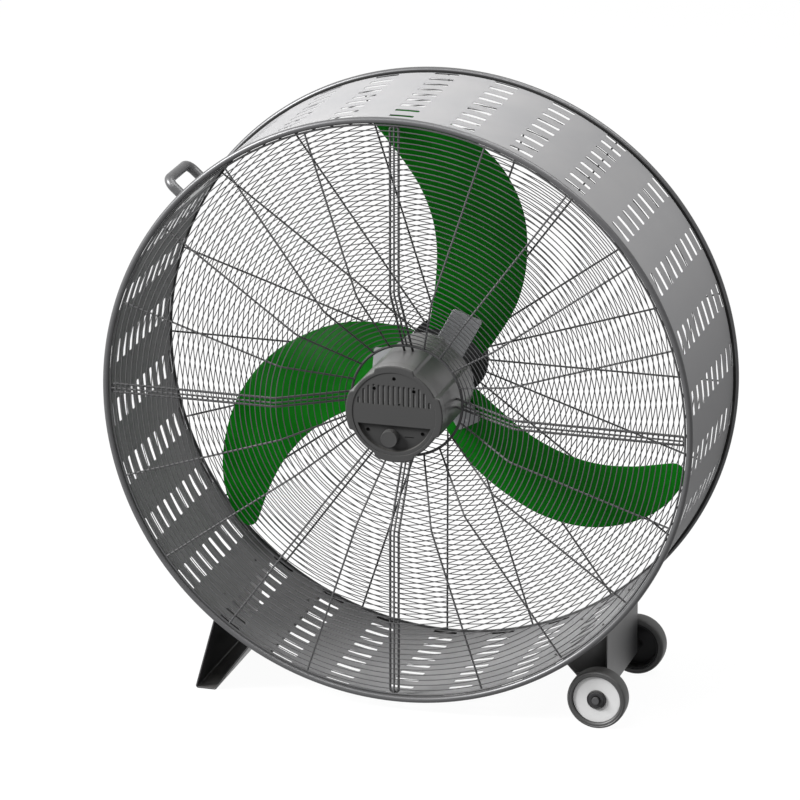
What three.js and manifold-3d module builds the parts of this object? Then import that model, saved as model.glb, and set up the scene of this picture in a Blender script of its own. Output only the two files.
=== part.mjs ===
// A drum fan. A slotted steel drum lies on its side with a wire guard at each end. A motor hangs in
// the middle of the front guard and turns three swept blades. The drum stands on a folded leg and on
// two wheels, and a tube handle tips it onto them.
//
// Millimetres. +Z is up, the front of the fan faces -Y, and the origin is on the floor under the
// middle of the drum. Inside the drum group, y is the depth behind the front rim's front face and
// x and z are measured from the drum's axis.

import * as THREE from 'three';
import { mergeVertices } from 'three/addons/utils/BufferGeometryUtils.js';
import Module from 'manifold-3d';

const wasm = await Module();
wasm.setup();

// ---- Driving dimensions ----

// Clearances
const seatGap = 0.3; // between two pieces that touch
const runGap = 0.5; // between two pieces that turn past each other
const overrun = 1; // by which a cutting tool runs past a face, or joined pieces run into each other
const throughReach = 60; // by which a tool runs past both sides of a sheet that it goes through
const weldDistance = 1e-3; // mesh corners nearer than this are one corner

// Drum
const drumDepth = 413.2; // over both rims
const shellRadius = 614.5; // outside of the rolled sheet
const shellSheet = 2.5;
const slotColumns = 30; // round the drum
const slotLength = 51; // round the drum
const slotWidth = 14; // along the drum
const slotRowPitch = 41.2; // along the drum, with as many rows as its depth takes
const slotEndMargin = 1; // least sheet between the last slots and the sheet's ends
const firstSlotAngle = 6;
const rimProud = 10.5; // rim outside the sheet
const rimLip = 2.8; // rim inside the sheet's outer face
const rimDepth = 13.5;
const rimShoulder = 3.2; // depth of the rim's sloping edges
const floorClearance = 21.7; // rim above the floor

// Guards
const spokeCount = 20;
const wireWidth = 4;
const wireDepth = 5;
const guardInset = 3; // guard behind the rim's outer face
const dishRadius = 257; // where the front guard turns back towards the motor
const dishDepth = 92.5;
const hubRingRadius = 118;
const flatRings = 3; // bands of the front guard outside the dish
const dishRings = 1; // bands of the dish
const rearRings = 6;
const rearPlateRadius = 88;
const armSpacing = 18; // between the two wires of a motor arm
const armWire = 5;
const armEndMargin = 1; // from the arm's end to the middle of the guard's outer wire

// Motor
const motorFront = 5; // depth of the cover's face
const coverDepth = 25;
const housingBack = 232;
const endShieldThickness = 8;
const lobeRadius = 103;
const barrelRadius = 96; // between the lobes
const lobeHalfAngle = 22;
const lobeStepAngle = 5; // taken by the slanted step beside a lobe
const housingBore = 89;
const bulkheadDepth = 60; // inner wall that carries the front bearing
const bulkheadThickness = 12;
const shaftRadius = 12;
const shaftFront = 56;
const bearingRadius = 26;
const bearingWidth = 12;
const bossWall = 6; // round the rear bearing
const statorFront = 92;
const statorLength = 96;
const windingOverhang = 14;
const rotorRadius = 54;
const shaftTail = 2; // shaft past the hub's nut
const glandRadius = 9;
const glandLength = 22;
const glandNutLength = 9;
const glandDomeRadius = 7.2;
const glandThreadRadius = 5.4;
const glandBoreRadius = 3.2;
const glandDepth = 200;

// Front cover
const coverWall = 3;
const faceRadius = 88.5;
const faceInset = 1.8;
const ventCount = 15;
const ventPitch = 10.7;
const ventWidth = 5;
const ventBottom = 18;
const ventTops = [60, 60, 60, 60, 60, 58, 50, 31]; // from the middle vent outwards
const recessEdge = -24.5; // straight top edge of the control recess
const recessRadius = 81;
const recessFloor = 15.6; // depth of the recess floor
const faceScrews = [[0, 75.3], [42, 51.6], [-42, 51.6]];
const recessScrews = [[58, -39.7], [-58, -39.7]];
const screwHeadRadius = 3.5;
const screwHeadHeight = 1.2;
const screwRadius = 2;
const screwLength = 7;

// Speed control
const knobX = -9;
const knobZ = -53;
const knobRadius = 18.6;
const knobTaper = 1.2;
const knobShaftRadius = 3;
const knobShaftReach = 9; // into the knob
const knobEdge = 1;
const controlRadius = 9;
const controlLength = 8;
const boardThickness = 1.6;
const boardRadius = 84;
const boardBlocks = [
  // width, height, depth, x, z
  [34, 28, 14, -28, 18], // transformer
  [46, 10, 12, 8, -34], // heat sink
];
const capacitorRadius = 9;
const capacitorLength = 14;
const capacitorPlace = [30, 20];

// Impeller
const hubRadius = 50;
const hubFront = 300;
const hubLength = 50;
const hubEdge = 3;
const hubNutRadius = 17;
const hubNutLength = 10;
const bladeCount = 3;
const bladeRootRadius = 88;
const bladeTipGap = 15; // blade tip to the sheet's inside
const bladeSheet = 4;
const bladeCamber = 12;
const chordSteps = 4;
const bladeStations = [
  // share of the span, leading and trailing angle, leading and trailing depth
  [0, 15.5, 99.5, 372, 314],
  [0.1, 30, 92.9, 374, 312],
  [0.26, 43, 89.4, 379, 309],
  [0.42, 54, 90.2, 380, 309],
  [0.58, 63.7, 93.6, 371, 304],
  [0.73, 74.2, 98.4, 352, 299],
  [0.82, 82.3, 101.3, 333, 299],
  [0.9, 90.3, 103.5, 319, 301],
  [0.97, 98, 104.2, 310, 304],
  [1, 101.3, 103.4, 308, 305],
];
const bracketAngle = 62; // direction of the first blade's bracket
const bracketWidth = 68;
const bracketReach = 139; // outer end from the axis
const bracketSheet = 6;
const bracketClearance = 2.1; // the blade's skin is curved and the bracket is flat
const rivetRadius = 3;
const rivetHeadRadius = 6;
const rivetHeadHeight = 2;
const rivetPlaces = [102, 126]; // from the axis

// Leg
const legInsets = [15, 15.2]; // leg's ends from the front and the rear of the drum
const legSheet = 3;
const legSpread = 45.7; // foot's outer edge outside the upper fold
const legFootWidth = 45;
const legStrips = [18.5, 19.5]; // strips between slot columns that its flanges lie on
const legCorners = [30, -1]; // fold from the middle of the strip
const legFlangeEnds = [0, 44];
const legBoltOffsets = [15, 27];

// Wheel bracket and axle
const bracketInsets = [80, 79.2]; // bracket's ends from the front and the rear of the drum
const channelLean = 0.66; // channel's lower right fold outside its upper one
const channelWidth = 28;
const channelStrips = [24.5, 25.5];
const channelCorners = [31, 32];
const channelFlangeEnds = [0, 2];
const channelBoltOffsets = [15, 13];
const cheekHeight = 46;
const boltInsets = [103, 96.2]; // bolts from the front and the rear of the drum
const boltRadius = 4;
const boltHeadRadius = 7.5;
const boltHeadHeight = 5;
const boltTip = 4; // past the sheet's inside
const boltSides = 6;

// Wheels
const wheelRadius = 62.5;
const wheelWidth = 38;
const wheelInsets = [26.6, 26.6]; // outer faces from the front and the rear of the drum
const axleInset = 10; // axle from the channel's right wall
const axleRadius = 6;
const axleHeadRadius = 8;
const axleHeadLength = 6;
const rimDiscRadius = 50;
const discInset = 6.5; // disc face behind the tyre's face
const discWeb = 4;
const discBand = 4; // thickness of the band that carries the tyre
const discBandInset = 3; // band's inner end from the tyre's face
const wheelHubRadius = 10;
const capRadius = 20.4;
const capHeight = 5;
const capEdge = 2;
const tyreCrown = 5;
const tyreRound = 1.2; // fall of the tread from its middle to its edge
const tyreBead = 2; // bead behind the tyre's face

// Handle
const handleAngle = 138;
const handleTube = 21;
const handleHeight = 58.5; // outside of the crossbar from the sheet
const handleDepths = [44, 173]; // leg centres
const handleBend = 20;
const handleSteps = 20; // lengths of straight tube that follow the bends

// ---- Sizes that follow ----

const arcSteps = 3; // half the straight steps in an arc
const circleSteps = 8 * arcSteps;
const fineSteps = 2 * circleSteps;
const smallSteps = 8; // in a turned piece as small as a screw
const nutSides = 6;

const axisHeight = shellRadius + rimProud + floorClearance;
const floorZ = -axisHeight;
const rimHalfWidth = (rimLip + rimProud) / 2;
const rimSteps = 2 * slotColumns;
const rimSag = flatSag(shellRadius - rimLip, rimSteps);
const slotAngle = THREE.MathUtils.radToDeg(slotLength / shellRadius);
const slotPitchAngle = 360 / slotColumns;
const stripHalfAngle = (slotPitchAngle - slotAngle) / 2;
// The sheet's end stops against the sloping inner edge of the rim.
const shellInset = rimDepth - rimShoulder * (1 - (rimLip + rimSag) / rimHalfWidth) + seatGap;
const slotSpan = drumDepth - 2 * (shellInset + slotEndMargin) - slotWidth;
const slotRows = 1 + Math.floor(slotSpan / slotRowPitch);
const guardRadius = shellRadius - rimLip - rimSag - wireWidth / 2 - seatGap;
const guardDepth = guardInset + wireDepth / 2;
const dishEdge = dishRadius - wireWidth / 2; // the ring at the dish's edge lies flat
const dishSlope = dishDepth / (dishEdge - hubRingRadius);
const coverBack = motorFront + coverDepth;
const bladeTipRadius = shellRadius - shellSheet - bladeTipGap;
const handleReach = shellRadius + handleHeight;
const [legFront, legBack] = [legInsets[0], drumDepth - legInsets[1]];
const [bracketFront, bracketBack] = [bracketInsets[0], drumDepth - bracketInsets[1]];
const boltDepths = [boltInsets[0], drumDepth - boltInsets[1]];
const wheelFront = wheelInsets[0];
const rearWheelBack = drumDepth - wheelInsets[1];

// ---- Finishes ----

function finish(color, roughness, metalness) {
  return new THREE.MeshStandardMaterial({ color, roughness, metalness });
}

const drumPaint = () => finish(0x5a5a5b, 0.45, 0.3);
const blackPaint = () => finish(0x1f1f20, 0.5, 0.2);
const guardPaint = () => finish(0x3a3839, 0.45, 0.3);
const motorPaint = () => finish(0x4a4a4a, 0.5, 0.2);
const steel = () => finish(0xa9abad, 0.35, 0.9);
const darkSteel = () => finish(0x161616, 0.4, 0.7);
const castHub = () => finish(0xb9babc, 0.45, 0.6);
const greenPlastic = () => finish(0x1d6b21, 0.35, 0);
const rubber = () => finish(0x2e2e2e, 0.85, 0);
const palePlastic = () => finish(0xd6d6d6, 0.5, 0);
const copper = () => finish(0xa8552a, 0.4, 0.8);
const boardGreen = () => finish(0x1c4a33, 0.5, 0);

// ---- Working with solids ----

function rad(degrees) {
  return THREE.MathUtils.degToRad(degrees);
}

// A point at a radius and an angle from +X towards +Z, at a depth.
function polar(radius, degrees, depth = 0) {
  return new THREE.Vector3(radius * Math.cos(rad(degrees)), depth, radius * Math.sin(rad(degrees)));
}

// The geometry's triangles, facing out, with shared corners merged and slivers dropped.
function closedMesh(geometry) {
  const bare = new THREE.BufferGeometry();
  bare.setAttribute('position', geometry.getAttribute('position'));
  bare.setIndex(geometry.getIndex());
  const merged = mergeVertices(bare, weldDistance);
  const points = merged.getAttribute('position').array;
  const index = merged.getIndex().array;
  const triangles = [];
  let volume = 0;
  const [a, b, c] = [new THREE.Vector3(), new THREE.Vector3(), new THREE.Vector3()];
  for (let i = 0; i < index.length; i += 3) {
    const [i0, i1, i2] = index.slice(i, i + 3);
    if (i0 === i1 || i1 === i2 || i2 === i0) continue;
    triangles.push([i0, i1, i2]);
    a.fromArray(points, 3 * i0);
    b.fromArray(points, 3 * i1);
    c.fromArray(points, 3 * i2);
    volume += a.dot(b.cross(c));
  }
  const outward = volume > 0 ? triangles : triangles.map(([i0, i1, i2]) => [i0, i2, i1]);
  return { points: new Float32Array(points), triangles: new Uint32Array(outward.flat()) };
}

function solid(geometry) {
  const { points, triangles } = closedMesh(geometry);
  return new wasm.Manifold(new wasm.Mesh({ numProp: 3, vertProperties: points, triVerts: triangles }));
}

function geometryFrom(points, triangles) {
  const geometry = new THREE.BufferGeometry();
  geometry.setAttribute('position', new THREE.BufferAttribute(new Float32Array(points), 3));
  geometry.setIndex(new THREE.BufferAttribute(new Uint32Array(triangles), 1));
  return geometry;
}

function geometryOf(body) {
  const mesh = body.getMesh();
  return geometryFrom(mesh.vertProperties, mesh.triVerts);
}

function join(...geometries) {
  return geometryOf(geometries.map(solid).reduce((whole, next) => whole.add(next)));
}

function cut(geometry, ...tools) {
  return geometryOf(tools.map(solid).reduce((whole, tool) => whole.subtract(tool), solid(geometry)));
}

// A flat outline in x and z, as thick as the stretch between two depths.
function slab(shape, front, back, curveSegments = arcSteps) {
  const depth = back - front;
  const geometry = new THREE.ExtrudeGeometry(shape, { depth, bevelEnabled: false, curveSegments });
  geometry.rotateX(Math.PI / 2);
  return geometry.translate(0, back, 0);
}

// A turned piece: [radius, depth] points that are joined up into a ring where they leave the axis.
function turned(profile, segments) {
  const points = profile.map(([radius, depth]) => new THREE.Vector2(radius, depth));
  const onAxis = profile[0][0] === 0 && profile.at(-1)[0] === 0;
  if (!onAxis) points.push(points[0].clone());
  return new THREE.LatheGeometry(points, segments);
}

// A round bar between two points.
function bar(radius, from, to, sides = 12) {
  const along = to.clone().sub(from);
  const geometry = new THREE.CylinderGeometry(radius, radius, along.length(), sides);
  geometry.applyQuaternion(new THREE.Quaternion().setFromUnitVectors(
    new THREE.Vector3(0, 1, 0), along.clone().normalize()));
  const middle = from.clone().add(to).multiplyScalar(0.5);
  return geometry.translate(middle.x, middle.y, middle.z);
}

// A circle of four arcs, so that it gets four times the steps of one arc.
function circle(radius, x = 0, z = 0) {
  const outline = new THREE.Shape();
  for (let quarter = 0; quarter < 4; quarter += 1) {
    outline.absarc(x, z, radius, rad(90 * quarter), rad(90 * (quarter + 1)));
  }
  return outline;
}

// How far the flats of a circle in so many steps come inside its corners.
function flatSag(radius, steps = circleSteps) {
  return radius * (1 - Math.cos(Math.PI / steps));
}

// ---- The object ----

const fan = new THREE.Group();
const drum = new THREE.Group();
drum.position.set(0, -drumDepth / 2, axisHeight);
fan.add(drum);

function place(name, geometry, material) {
  const outward = closedMesh(geometry);
  const mesh = new THREE.Mesh(geometryFrom(outward.points, outward.triangles), material);
  mesh.name = name;
  drum.add(mesh);
  return mesh;
}

// ---- Drum ----

// The angles of the long edges of every slot, in turn round the drum.
function slotEdgeAngles() {
  const angles = [];
  for (let column = 0; column < slotColumns; column += 1) {
    const middle = firstSlotAngle + column * slotPitchAngle;
    angles.push(middle - slotAngle / 2, middle + slotAngle / 2);
  }
  return angles;
}

// The depths of the sheet's ends and of both edges of every slot.
function slotEdgeDepths() {
  const depths = [shellInset];
  for (let row = 0; row < slotRows; row += 1) {
    const middle = drumDepth / 2 + (row - (slotRows - 1) / 2) * slotRowPitch;
    depths.push(middle - slotWidth / 2, middle + slotWidth / 2);
  }
  depths.push(drumDepth - shellInset);
  return depths;
}

// The rolled sheet with its slots, as one skin outside, one inside and the slots' edges.
function slottedSheet() {
  const angles = slotEdgeAngles();
  const depths = slotEdgeDepths();
  const points = [];
  for (const radius of [shellRadius, shellRadius - shellSheet]) {
    for (const angle of angles) {
      for (const depth of depths) points.push(...polar(radius, angle, depth).toArray());
    }
  }
  const corner = (skin, column, row) =>
    (skin * angles.length + (column % angles.length)) * depths.length + row;
  const isSlot = (column, row) => column % 2 === 0 && row % 2 === 1;
  const isSheet = (column, row) => row >= 0 && row < depths.length - 1 && !isSlot(column, row);
  const index = [];
  const quad = (a, b, c, d) => index.push(a, b, c, a, c, d);
  for (let column = 0; column < angles.length; column += 1) {
    const before = (column + angles.length - 1) % angles.length;
    for (let row = 0; row < depths.length; row += 1) {
      const outer = corner(0, column, row);
      const inner = corner(1, column, row);
      const outerNext = corner(0, column + 1, row);
      const innerNext = corner(1, column + 1, row);
      if (isSheet(column, row)) {
        quad(outer, outer + 1, outerNext + 1, outerNext);
        quad(inner, innerNext, innerNext + 1, inner + 1);
      }
      if (isSheet(column, row) && !isSheet(column, row - 1)) quad(outer, outerNext, innerNext, inner);
      if (!isSheet(column, row) && isSheet(column, row - 1)) quad(outer, inner, innerNext, outerNext);
      if (row === depths.length - 1) continue;
      if (isSheet(column, row) && !isSheet(before, row)) quad(outer, inner, inner + 1, outer + 1);
      if (!isSheet(column, row) && isSheet(before, row)) quad(outer, outer + 1, inner + 1, inner);
    }
  }
  return geometryFrom(points, index);
}

// The rolled bead at one end of the drum, from its outer face inwards.
function rimBead(front) {
  const inner = shellRadius - rimLip;
  const outer = shellRadius + rimProud;
  const middle = inner + rimHalfWidth;
  const depthAt = (inset) => (front ? inset : drumDepth - inset);
  return turned([
    [inner, depthAt(rimShoulder)],
    [middle, depthAt(0)],
    [outer, depthAt(rimShoulder)],
    [outer, depthAt(rimDepth - rimShoulder)],
    [middle, depthAt(rimDepth)],
    [inner, depthAt(rimDepth - rimShoulder)],
  ], rimSteps);
}

// ---- Fixings on the sheet ----

// A place on a plane that lies on one strip of the sheet: its distance out from the sheet's flat,
// and its offset round the drum from the middle of the strip.
function onStrip(strip, out, offset, depth = 0) {
  const angle = firstSlotAngle + strip * slotPitchAngle;
  const distance = shellRadius * Math.cos(rad(stripHalfAngle)) + out;
  return polar(distance, angle, depth).add(polar(offset, angle + 90));
}

// A hexagon bolt that holds a flange on a strip, from the head down through the sheet.
function flangeBolt(strip, offset, depth) {
  const headFace = seatGap + legSheet + seatGap;
  const head = bar(boltHeadRadius, onStrip(strip, headFace, offset, depth),
    onStrip(strip, headFace + boltHeadHeight, offset, depth), boltSides);
  const shank = bar(boltRadius, onStrip(strip, -shellSheet - boltTip, offset, depth),
    onStrip(strip, headFace + boltHeadHeight / 2, offset, depth), boltSides);
  return join(head, shank);
}

function boltHole(strip, offset, depth) {
  const reach = shellSheet + boltTip + legSheet;
  const low = onStrip(strip, -reach, offset, depth);
  return bar(boltRadius + seatGap, low, onStrip(strip, reach, offset, depth), boltSides);
}

// The places of the bolts through a pair of flanges: the strip, the offset round it and the depth.
function boltPlaces(strips, offsets) {
  return strips.flatMap((strip, side) => boltDepths.map((depth) => [strip, offsets[side], depth]));
}

const legBolts = boltPlaces(legStrips, legBoltOffsets);
const channelBolts = boltPlaces(channelStrips, channelBoltOffsets);
const shellHoles = [...legBolts, ...channelBolts].map((bolt) => boltHole(...bolt));

place('drum_shell', cut(slottedSheet(), ...shellHoles), drumPaint());
place('front_rim', rimBead(true), drumPaint());
place('rear_rim', rimBead(false), drumPaint());

// ---- Guards ----

// A wire net of rings and spokes in one piece. The rings are bands between pairs of circles, and the
// spokes join one ring to the next. depthAt gives the net's middle depth at a radius.
function wireNet(ringRadii, depthAt, firstSpoke) {
  const circles = ringRadii.flatMap((radius) => [radius - wireWidth / 2, radius + wireWidth / 2]);
  const spokePitch = 360 / spokeCount;
  const points = [];
  for (const side of [-1, 1]) {
    for (const radius of circles) {
      const halfSpoke = THREE.MathUtils.radToDeg(Math.asin(wireWidth / 2 / radius));
      for (let spoke = 0; spoke < spokeCount; spoke += 1) {
        const angle = firstSpoke + spoke * spokePitch;
        for (const turn of [-halfSpoke, halfSpoke, spokePitch / 2]) {
          points.push(...polar(radius, angle + turn, depthAt(radius) + (side * wireDepth) / 2).toArray());
        }
      }
    }
  }
  const around = 3 * spokeCount;
  const corner = (side, ring, step) => (side * circles.length + ring) * around + (step % around);
  const isRing = (ring) => ring % 2 === 0;
  const isWire = (ring, step) => ring >= 0 && ring < circles.length - 1 && (isRing(ring) || step % 3 === 0);
  const index = [];
  const quad = (a, b, c, d) => index.push(a, b, c, a, c, d);
  for (let ring = 0; ring < circles.length; ring += 1) {
    for (let step = 0; step < around; step += 1) {
      const before = (step + around - 1) % around;
      const [front, frontNext] = [corner(0, ring, step), corner(0, ring, step + 1)];
      const [back, backNext] = [corner(1, ring, step), corner(1, ring, step + 1)];
      if (isWire(ring, step)) {
        quad(front, front + around, corner(0, ring + 1, step + 1), frontNext);
        quad(back, backNext, corner(1, ring + 1, step + 1), back + around);
      }
      if (isWire(ring, step) && !isWire(ring - 1, step)) quad(front, frontNext, backNext, back);
      if (!isWire(ring, step) && isWire(ring - 1, step)) quad(front, back, backNext, frontNext);
      if (ring === circles.length - 1) continue;
      if (isWire(ring, step) && !isWire(ring, before)) quad(front, back, back + around, front + around);
      if (!isWire(ring, step) && isWire(ring, before)) quad(front, front + around, back + around, back);
    }
  }
  return geometryFrom(points, index);
}

// Evenly spaced radii from one to the other, both ends taken.
function spacedRadii(from, to, bands) {
  return Array.from({ length: bands + 1 }, (_, i) => from + ((to - from) * i) / bands);
}

function frontGuardDepth(radius) {
  return guardDepth + Math.max(0, dishEdge - radius) * dishSlope;
}

const frontRings = [
  ...spacedRadii(hubRingRadius, dishRadius, dishRings).slice(0, -1),
  ...spacedRadii(dishRadius, guardRadius, flatRings),
];
const rearGuardDepth = drumDepth - guardDepth;

// The rear guard is welded to a round plate that closes its middle.
function rearGuard() {
  const net = wireNet(spacedRadii(rearPlateRadius, guardRadius, rearRings), () => rearGuardDepth, 0);
  const plate = slab(circle(rearPlateRadius), rearGuardDepth - wireDepth / 4, rearGuardDepth + wireDepth / 4);
  return join(net, plate);
}

// A motor arm for the spoke along +X: a long wire U behind the flat of the guard, whose two ends
// follow the dish back to a lobe of the motor.
function motorArm() {
  const half = armSpacing / 2;
  const armEnd = guardRadius - armEndMargin;
  const wireFace = guardDepth + wireDepth / 2 + seatGap;
  const slope = Math.atan(dishSlope);
  const slantDepthAt = (radius) => frontGuardDepth(radius) + wireDepth / 2 + seatGap / Math.cos(slope);
  const inSlant = new THREE.Vector3(Math.sin(slope), Math.cos(slope), 0).multiplyScalar(armWire / 2);
  const outline = new THREE.Shape();
  outline.moveTo(dishEdge, -half - armWire / 2);
  outline.lineTo(armEnd, -half - armWire / 2);
  outline.lineTo(armEnd, half + armWire / 2);
  outline.lineTo(dishEdge, half + armWire / 2);
  outline.lineTo(dishEdge, half - armWire / 2);
  outline.lineTo(armEnd - armWire, half - armWire / 2);
  outline.lineTo(armEnd - armWire, -half + armWire / 2);
  outline.lineTo(dishEdge, -half + armWire / 2);
  const flat = slab(outline, wireFace, wireFace + armWire);
  const outer = new THREE.Vector3(dishEdge, slantDepthAt(dishEdge), 0).add(inSlant);
  const inner = new THREE.Vector3(barrelRadius, slantDepthAt(barrelRadius), 0).add(inSlant);
  const slants = [-half, half].map((z) => {
    const slant = new THREE.BoxGeometry(outer.distanceTo(inner), armWire, armWire);
    slant.rotateZ(-slope);
    return slant.translate((outer.x + inner.x) / 2, (outer.y + inner.y) / 2, z);
  });
  const lobeFace = lobeRadius + seatGap;
  const lobe = turned([[0, 0], [lobeFace, 0], [lobeFace, drumDepth], [0, drumDepth]], fineSteps);
  return cut(join(flat, ...slants), lobe);
}

place('front_guard', wireNet(frontRings, frontGuardDepth, 0), guardPaint());
place('rear_guard', rearGuard(), guardPaint());
['right', 'top', 'left', 'bottom'].forEach((side, quarter) => {
  place(`motor_arm_${side}`, motorArm().rotateY((-quarter * Math.PI) / 2), guardPaint());
});

// ---- Motor ----

// The outline of the motor: a round barrel with a wide lobe at each quarter.
function barrelOutline(inset = 0) {
  const outline = new THREE.Shape();
  for (let quarter = 0; quarter < 4; quarter += 1) {
    const middle = 90 * quarter;
    const lobe = [middle - lobeHalfAngle, middle + lobeHalfAngle];
    const valley = [middle + lobeHalfAngle + lobeStepAngle, middle + 90 - lobeHalfAngle - lobeStepAngle];
    outline.absarc(0, 0, lobeRadius - inset, rad(lobe[0]), rad(lobe[1]));
    outline.absarc(0, 0, barrelRadius - inset, rad(valley[0]), rad(valley[1]));
  }
  return outline;
}

function withHole(shape, ...holes) {
  shape.holes.push(...holes);
  return shape;
}

// A round bar that hangs below the motor's axis at the gland's depth.
function glandBar(radius, from, to, sides) {
  return bar(radius, polar(from, 270, glandDepth), polar(to, 270, glandDepth), sides);
}

function motorHousing() {
  const tube = slab(withHole(barrelOutline(), circle(housingBore)), coverBack + seatGap, housingBack);
  const bulkhead = slab(withHole(circle(housingBore + overrun), circle(bearingRadius + seatGap)),
    bulkheadDepth, bulkheadDepth + bulkheadThickness);
  const [inner, outer] = [housingBore - throughReach, lobeRadius + throughReach];
  return cut(join(tube, bulkhead), glandBar(glandThreadRadius + seatGap, inner, outer));
}

const shieldFront = housingBack + seatGap;
const shieldBack = shieldFront + endShieldThickness;

// The rear end shield, with a boss that carries the rear bearing.
function endShield() {
  const plate = slab(withHole(barrelOutline(), circle(shaftRadius + runGap)), shieldFront, shieldBack);
  const boss = slab(withHole(circle(bearingRadius + bossWall), circle(bearingRadius + seatGap)),
    shieldFront - bearingWidth, shieldFront + overrun);
  return join(plate, boss);
}

function bearing(front) {
  const land = shaftRadius + seatGap;
  return turned([[land, front], [bearingRadius, front], [bearingRadius, front + bearingWidth],
    [land, front + bearingWidth]], circleSteps);
}

function stator() {
  const inner = rotorRadius + runGap;
  const outer = housingBore - seatGap - flatSag(housingBore);
  const windingOuter = (inner + outer) / 2 + windingOverhang;
  const back = statorFront + statorLength;
  return turned([
    [inner, statorFront - windingOverhang], [windingOuter, statorFront - windingOverhang],
    [windingOuter, statorFront], [outer, statorFront], [outer, back], [windingOuter, back],
    [windingOuter, back + windingOverhang], [inner, back + windingOverhang],
  ], circleSteps);
}

function rotorCore() {
  const land = shaftRadius + seatGap;
  return turned([[land, statorFront], [rotorRadius, statorFront],
    [rotorRadius, statorFront + statorLength], [land, statorFront + statorLength]], circleSteps);
}

const hubBack = hubFront + hubLength;
const nutBack = hubBack + seatGap + hubNutLength;

const shaftBack = nutBack + shaftTail;

function motorShaft() {
  const [front, back] = [shaftFront, shaftBack];
  return turned([[0, front], [shaftRadius, front], [shaftRadius, back], [0, back]], circleSteps);
}

function cableGland() {
  const face = lobeRadius + seatGap;
  const nut = glandBar(glandRadius, face, face + glandNutLength, nutSides);
  const dome = glandBar(glandDomeRadius, face + overrun, face + glandLength);
  const thread = glandBar(glandThreadRadius, housingBore - overrun, face + overrun);
  const bore = glandBar(glandBoreRadius, housingBore - throughReach, face + throughReach, smallSteps);
  return cut(join(nut, dome, thread), bore);
}

place('motor_housing', motorHousing(), motorPaint());
place('rear_end_shield', endShield(), motorPaint());
place('stator', stator(), copper());
place('rotor_core', rotorCore(), steel());
place('motor_shaft', motorShaft(), steel());
place('front_bearing', bearing(bulkheadDepth), steel());
place('rear_bearing', bearing(shieldFront - bearingWidth - seatGap), steel());
place('cable_gland', cableGland(), blackPaint());

// ---- Front cover ----

// The part of a disc that lies below the recess's straight edge.
function recessOutline(radius, edge) {
  const half = Math.acos(edge / radius);
  const start = Math.PI / 2 - half;
  const outline = new THREE.Shape();
  outline.absarc(0, 0, radius, start, Math.PI - start, true);
  outline.closePath();
  return outline;
}

function ventOutline(number) {
  const x = number * ventPitch;
  const top = ventTops[Math.abs(number)];
  const outline = new THREE.Shape();
  outline.moveTo(x - ventWidth / 2, ventBottom);
  outline.lineTo(x + ventWidth / 2, ventBottom);
  outline.lineTo(x + ventWidth / 2, top);
  outline.lineTo(x - ventWidth / 2, top);
  return outline;
}

const facePlane = motorFront + faceInset;
const faceBack = facePlane + coverWall;
const recessBack = recessFloor + coverWall;

// The holes for the cover's screws, with a counterbore for each head.
function screwHoles(places, floor) {
  const before = motorFront - overrun;
  return places.flatMap(([x, z]) => [
    slab(circle(screwHeadRadius + seatGap, x, z), before, floor + screwHeadHeight, 1),
    slab(circle(screwRadius + seatGap, x, z), before, floor + coverWall + overrun, 1),
  ]);
}

function frontCover() {
  const before = motorFront - overrun;
  const body = slab(barrelOutline(), motorFront, coverBack);
  const dial = slab(circle(faceRadius), before, facePlane);
  const pocket = slab(recessOutline(recessRadius, recessEdge), before, recessFloor, 2 * arcSteps);
  const pocketWall = recessOutline(recessRadius + coverWall, recessEdge + coverWall);
  const cavity = cut(slab(circle(housingBore), faceBack, coverBack + overrun),
    slab(pocketWall, faceBack - overrun, recessBack, 2 * arcSteps));
  const vents = [];
  for (let number = -(ventCount - 1) / 2; number <= (ventCount - 1) / 2; number += 1) {
    vents.push(slab(ventOutline(number), before, faceBack + overrun));
  }
  const holes = [...screwHoles(faceScrews, facePlane), ...screwHoles(recessScrews, recessFloor)];
  const shaftHole = slab(circle(knobShaftRadius + seatGap, knobX, knobZ), before, recessBack + overrun, 1);
  return cut(body, dial, pocket, cavity, ...vents, ...holes, shaftHole);
}

function coverScrew([x, z], floor) {
  const headBack = floor + screwHeadHeight - seatGap;
  const head = slab(circle(screwHeadRadius, x, z), floor, headBack, 1);
  const shank = slab(circle(screwRadius, x, z), floor + seatGap, headBack + screwLength, 1);
  return join(head, shank);
}

// ---- Speed control ----

const boardFront = recessBack + seatGap + controlLength + seatGap;

function speedKnob() {
  const back = recessFloor - seatGap;
  const bore = knobShaftRadius + seatGap;
  const boreEnd = back - knobShaftReach - seatGap;
  const frontRadius = knobRadius - knobTaper;
  return turned([
    [0, 0], [frontRadius - knobEdge, 0], [frontRadius, knobEdge], [knobRadius, back],
    [bore, back], [bore, boreEnd], [0, boreEnd],
  ], circleSteps).translate(knobX, 0, knobZ);
}

function knobShaft() {
  const front = recessFloor - seatGap - knobShaftReach;
  const back = recessBack + seatGap + controlLength / 2;
  return turned([[0, front], [knobShaftRadius, front], [knobShaftRadius, back], [0, back]], smallSteps)
    .translate(knobX, 0, knobZ);
}

function speedControl() {
  const front = recessBack + seatGap;
  const bore = knobShaftRadius + seatGap;
  return turned([
    [bore, front], [controlRadius, front], [controlRadius, front + controlLength], [0, front + controlLength],
    [0, front + controlLength / 2 + seatGap], [bore, front + controlLength / 2 + seatGap],
  ], circleSteps).translate(knobX, 0, knobZ);
}

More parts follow.
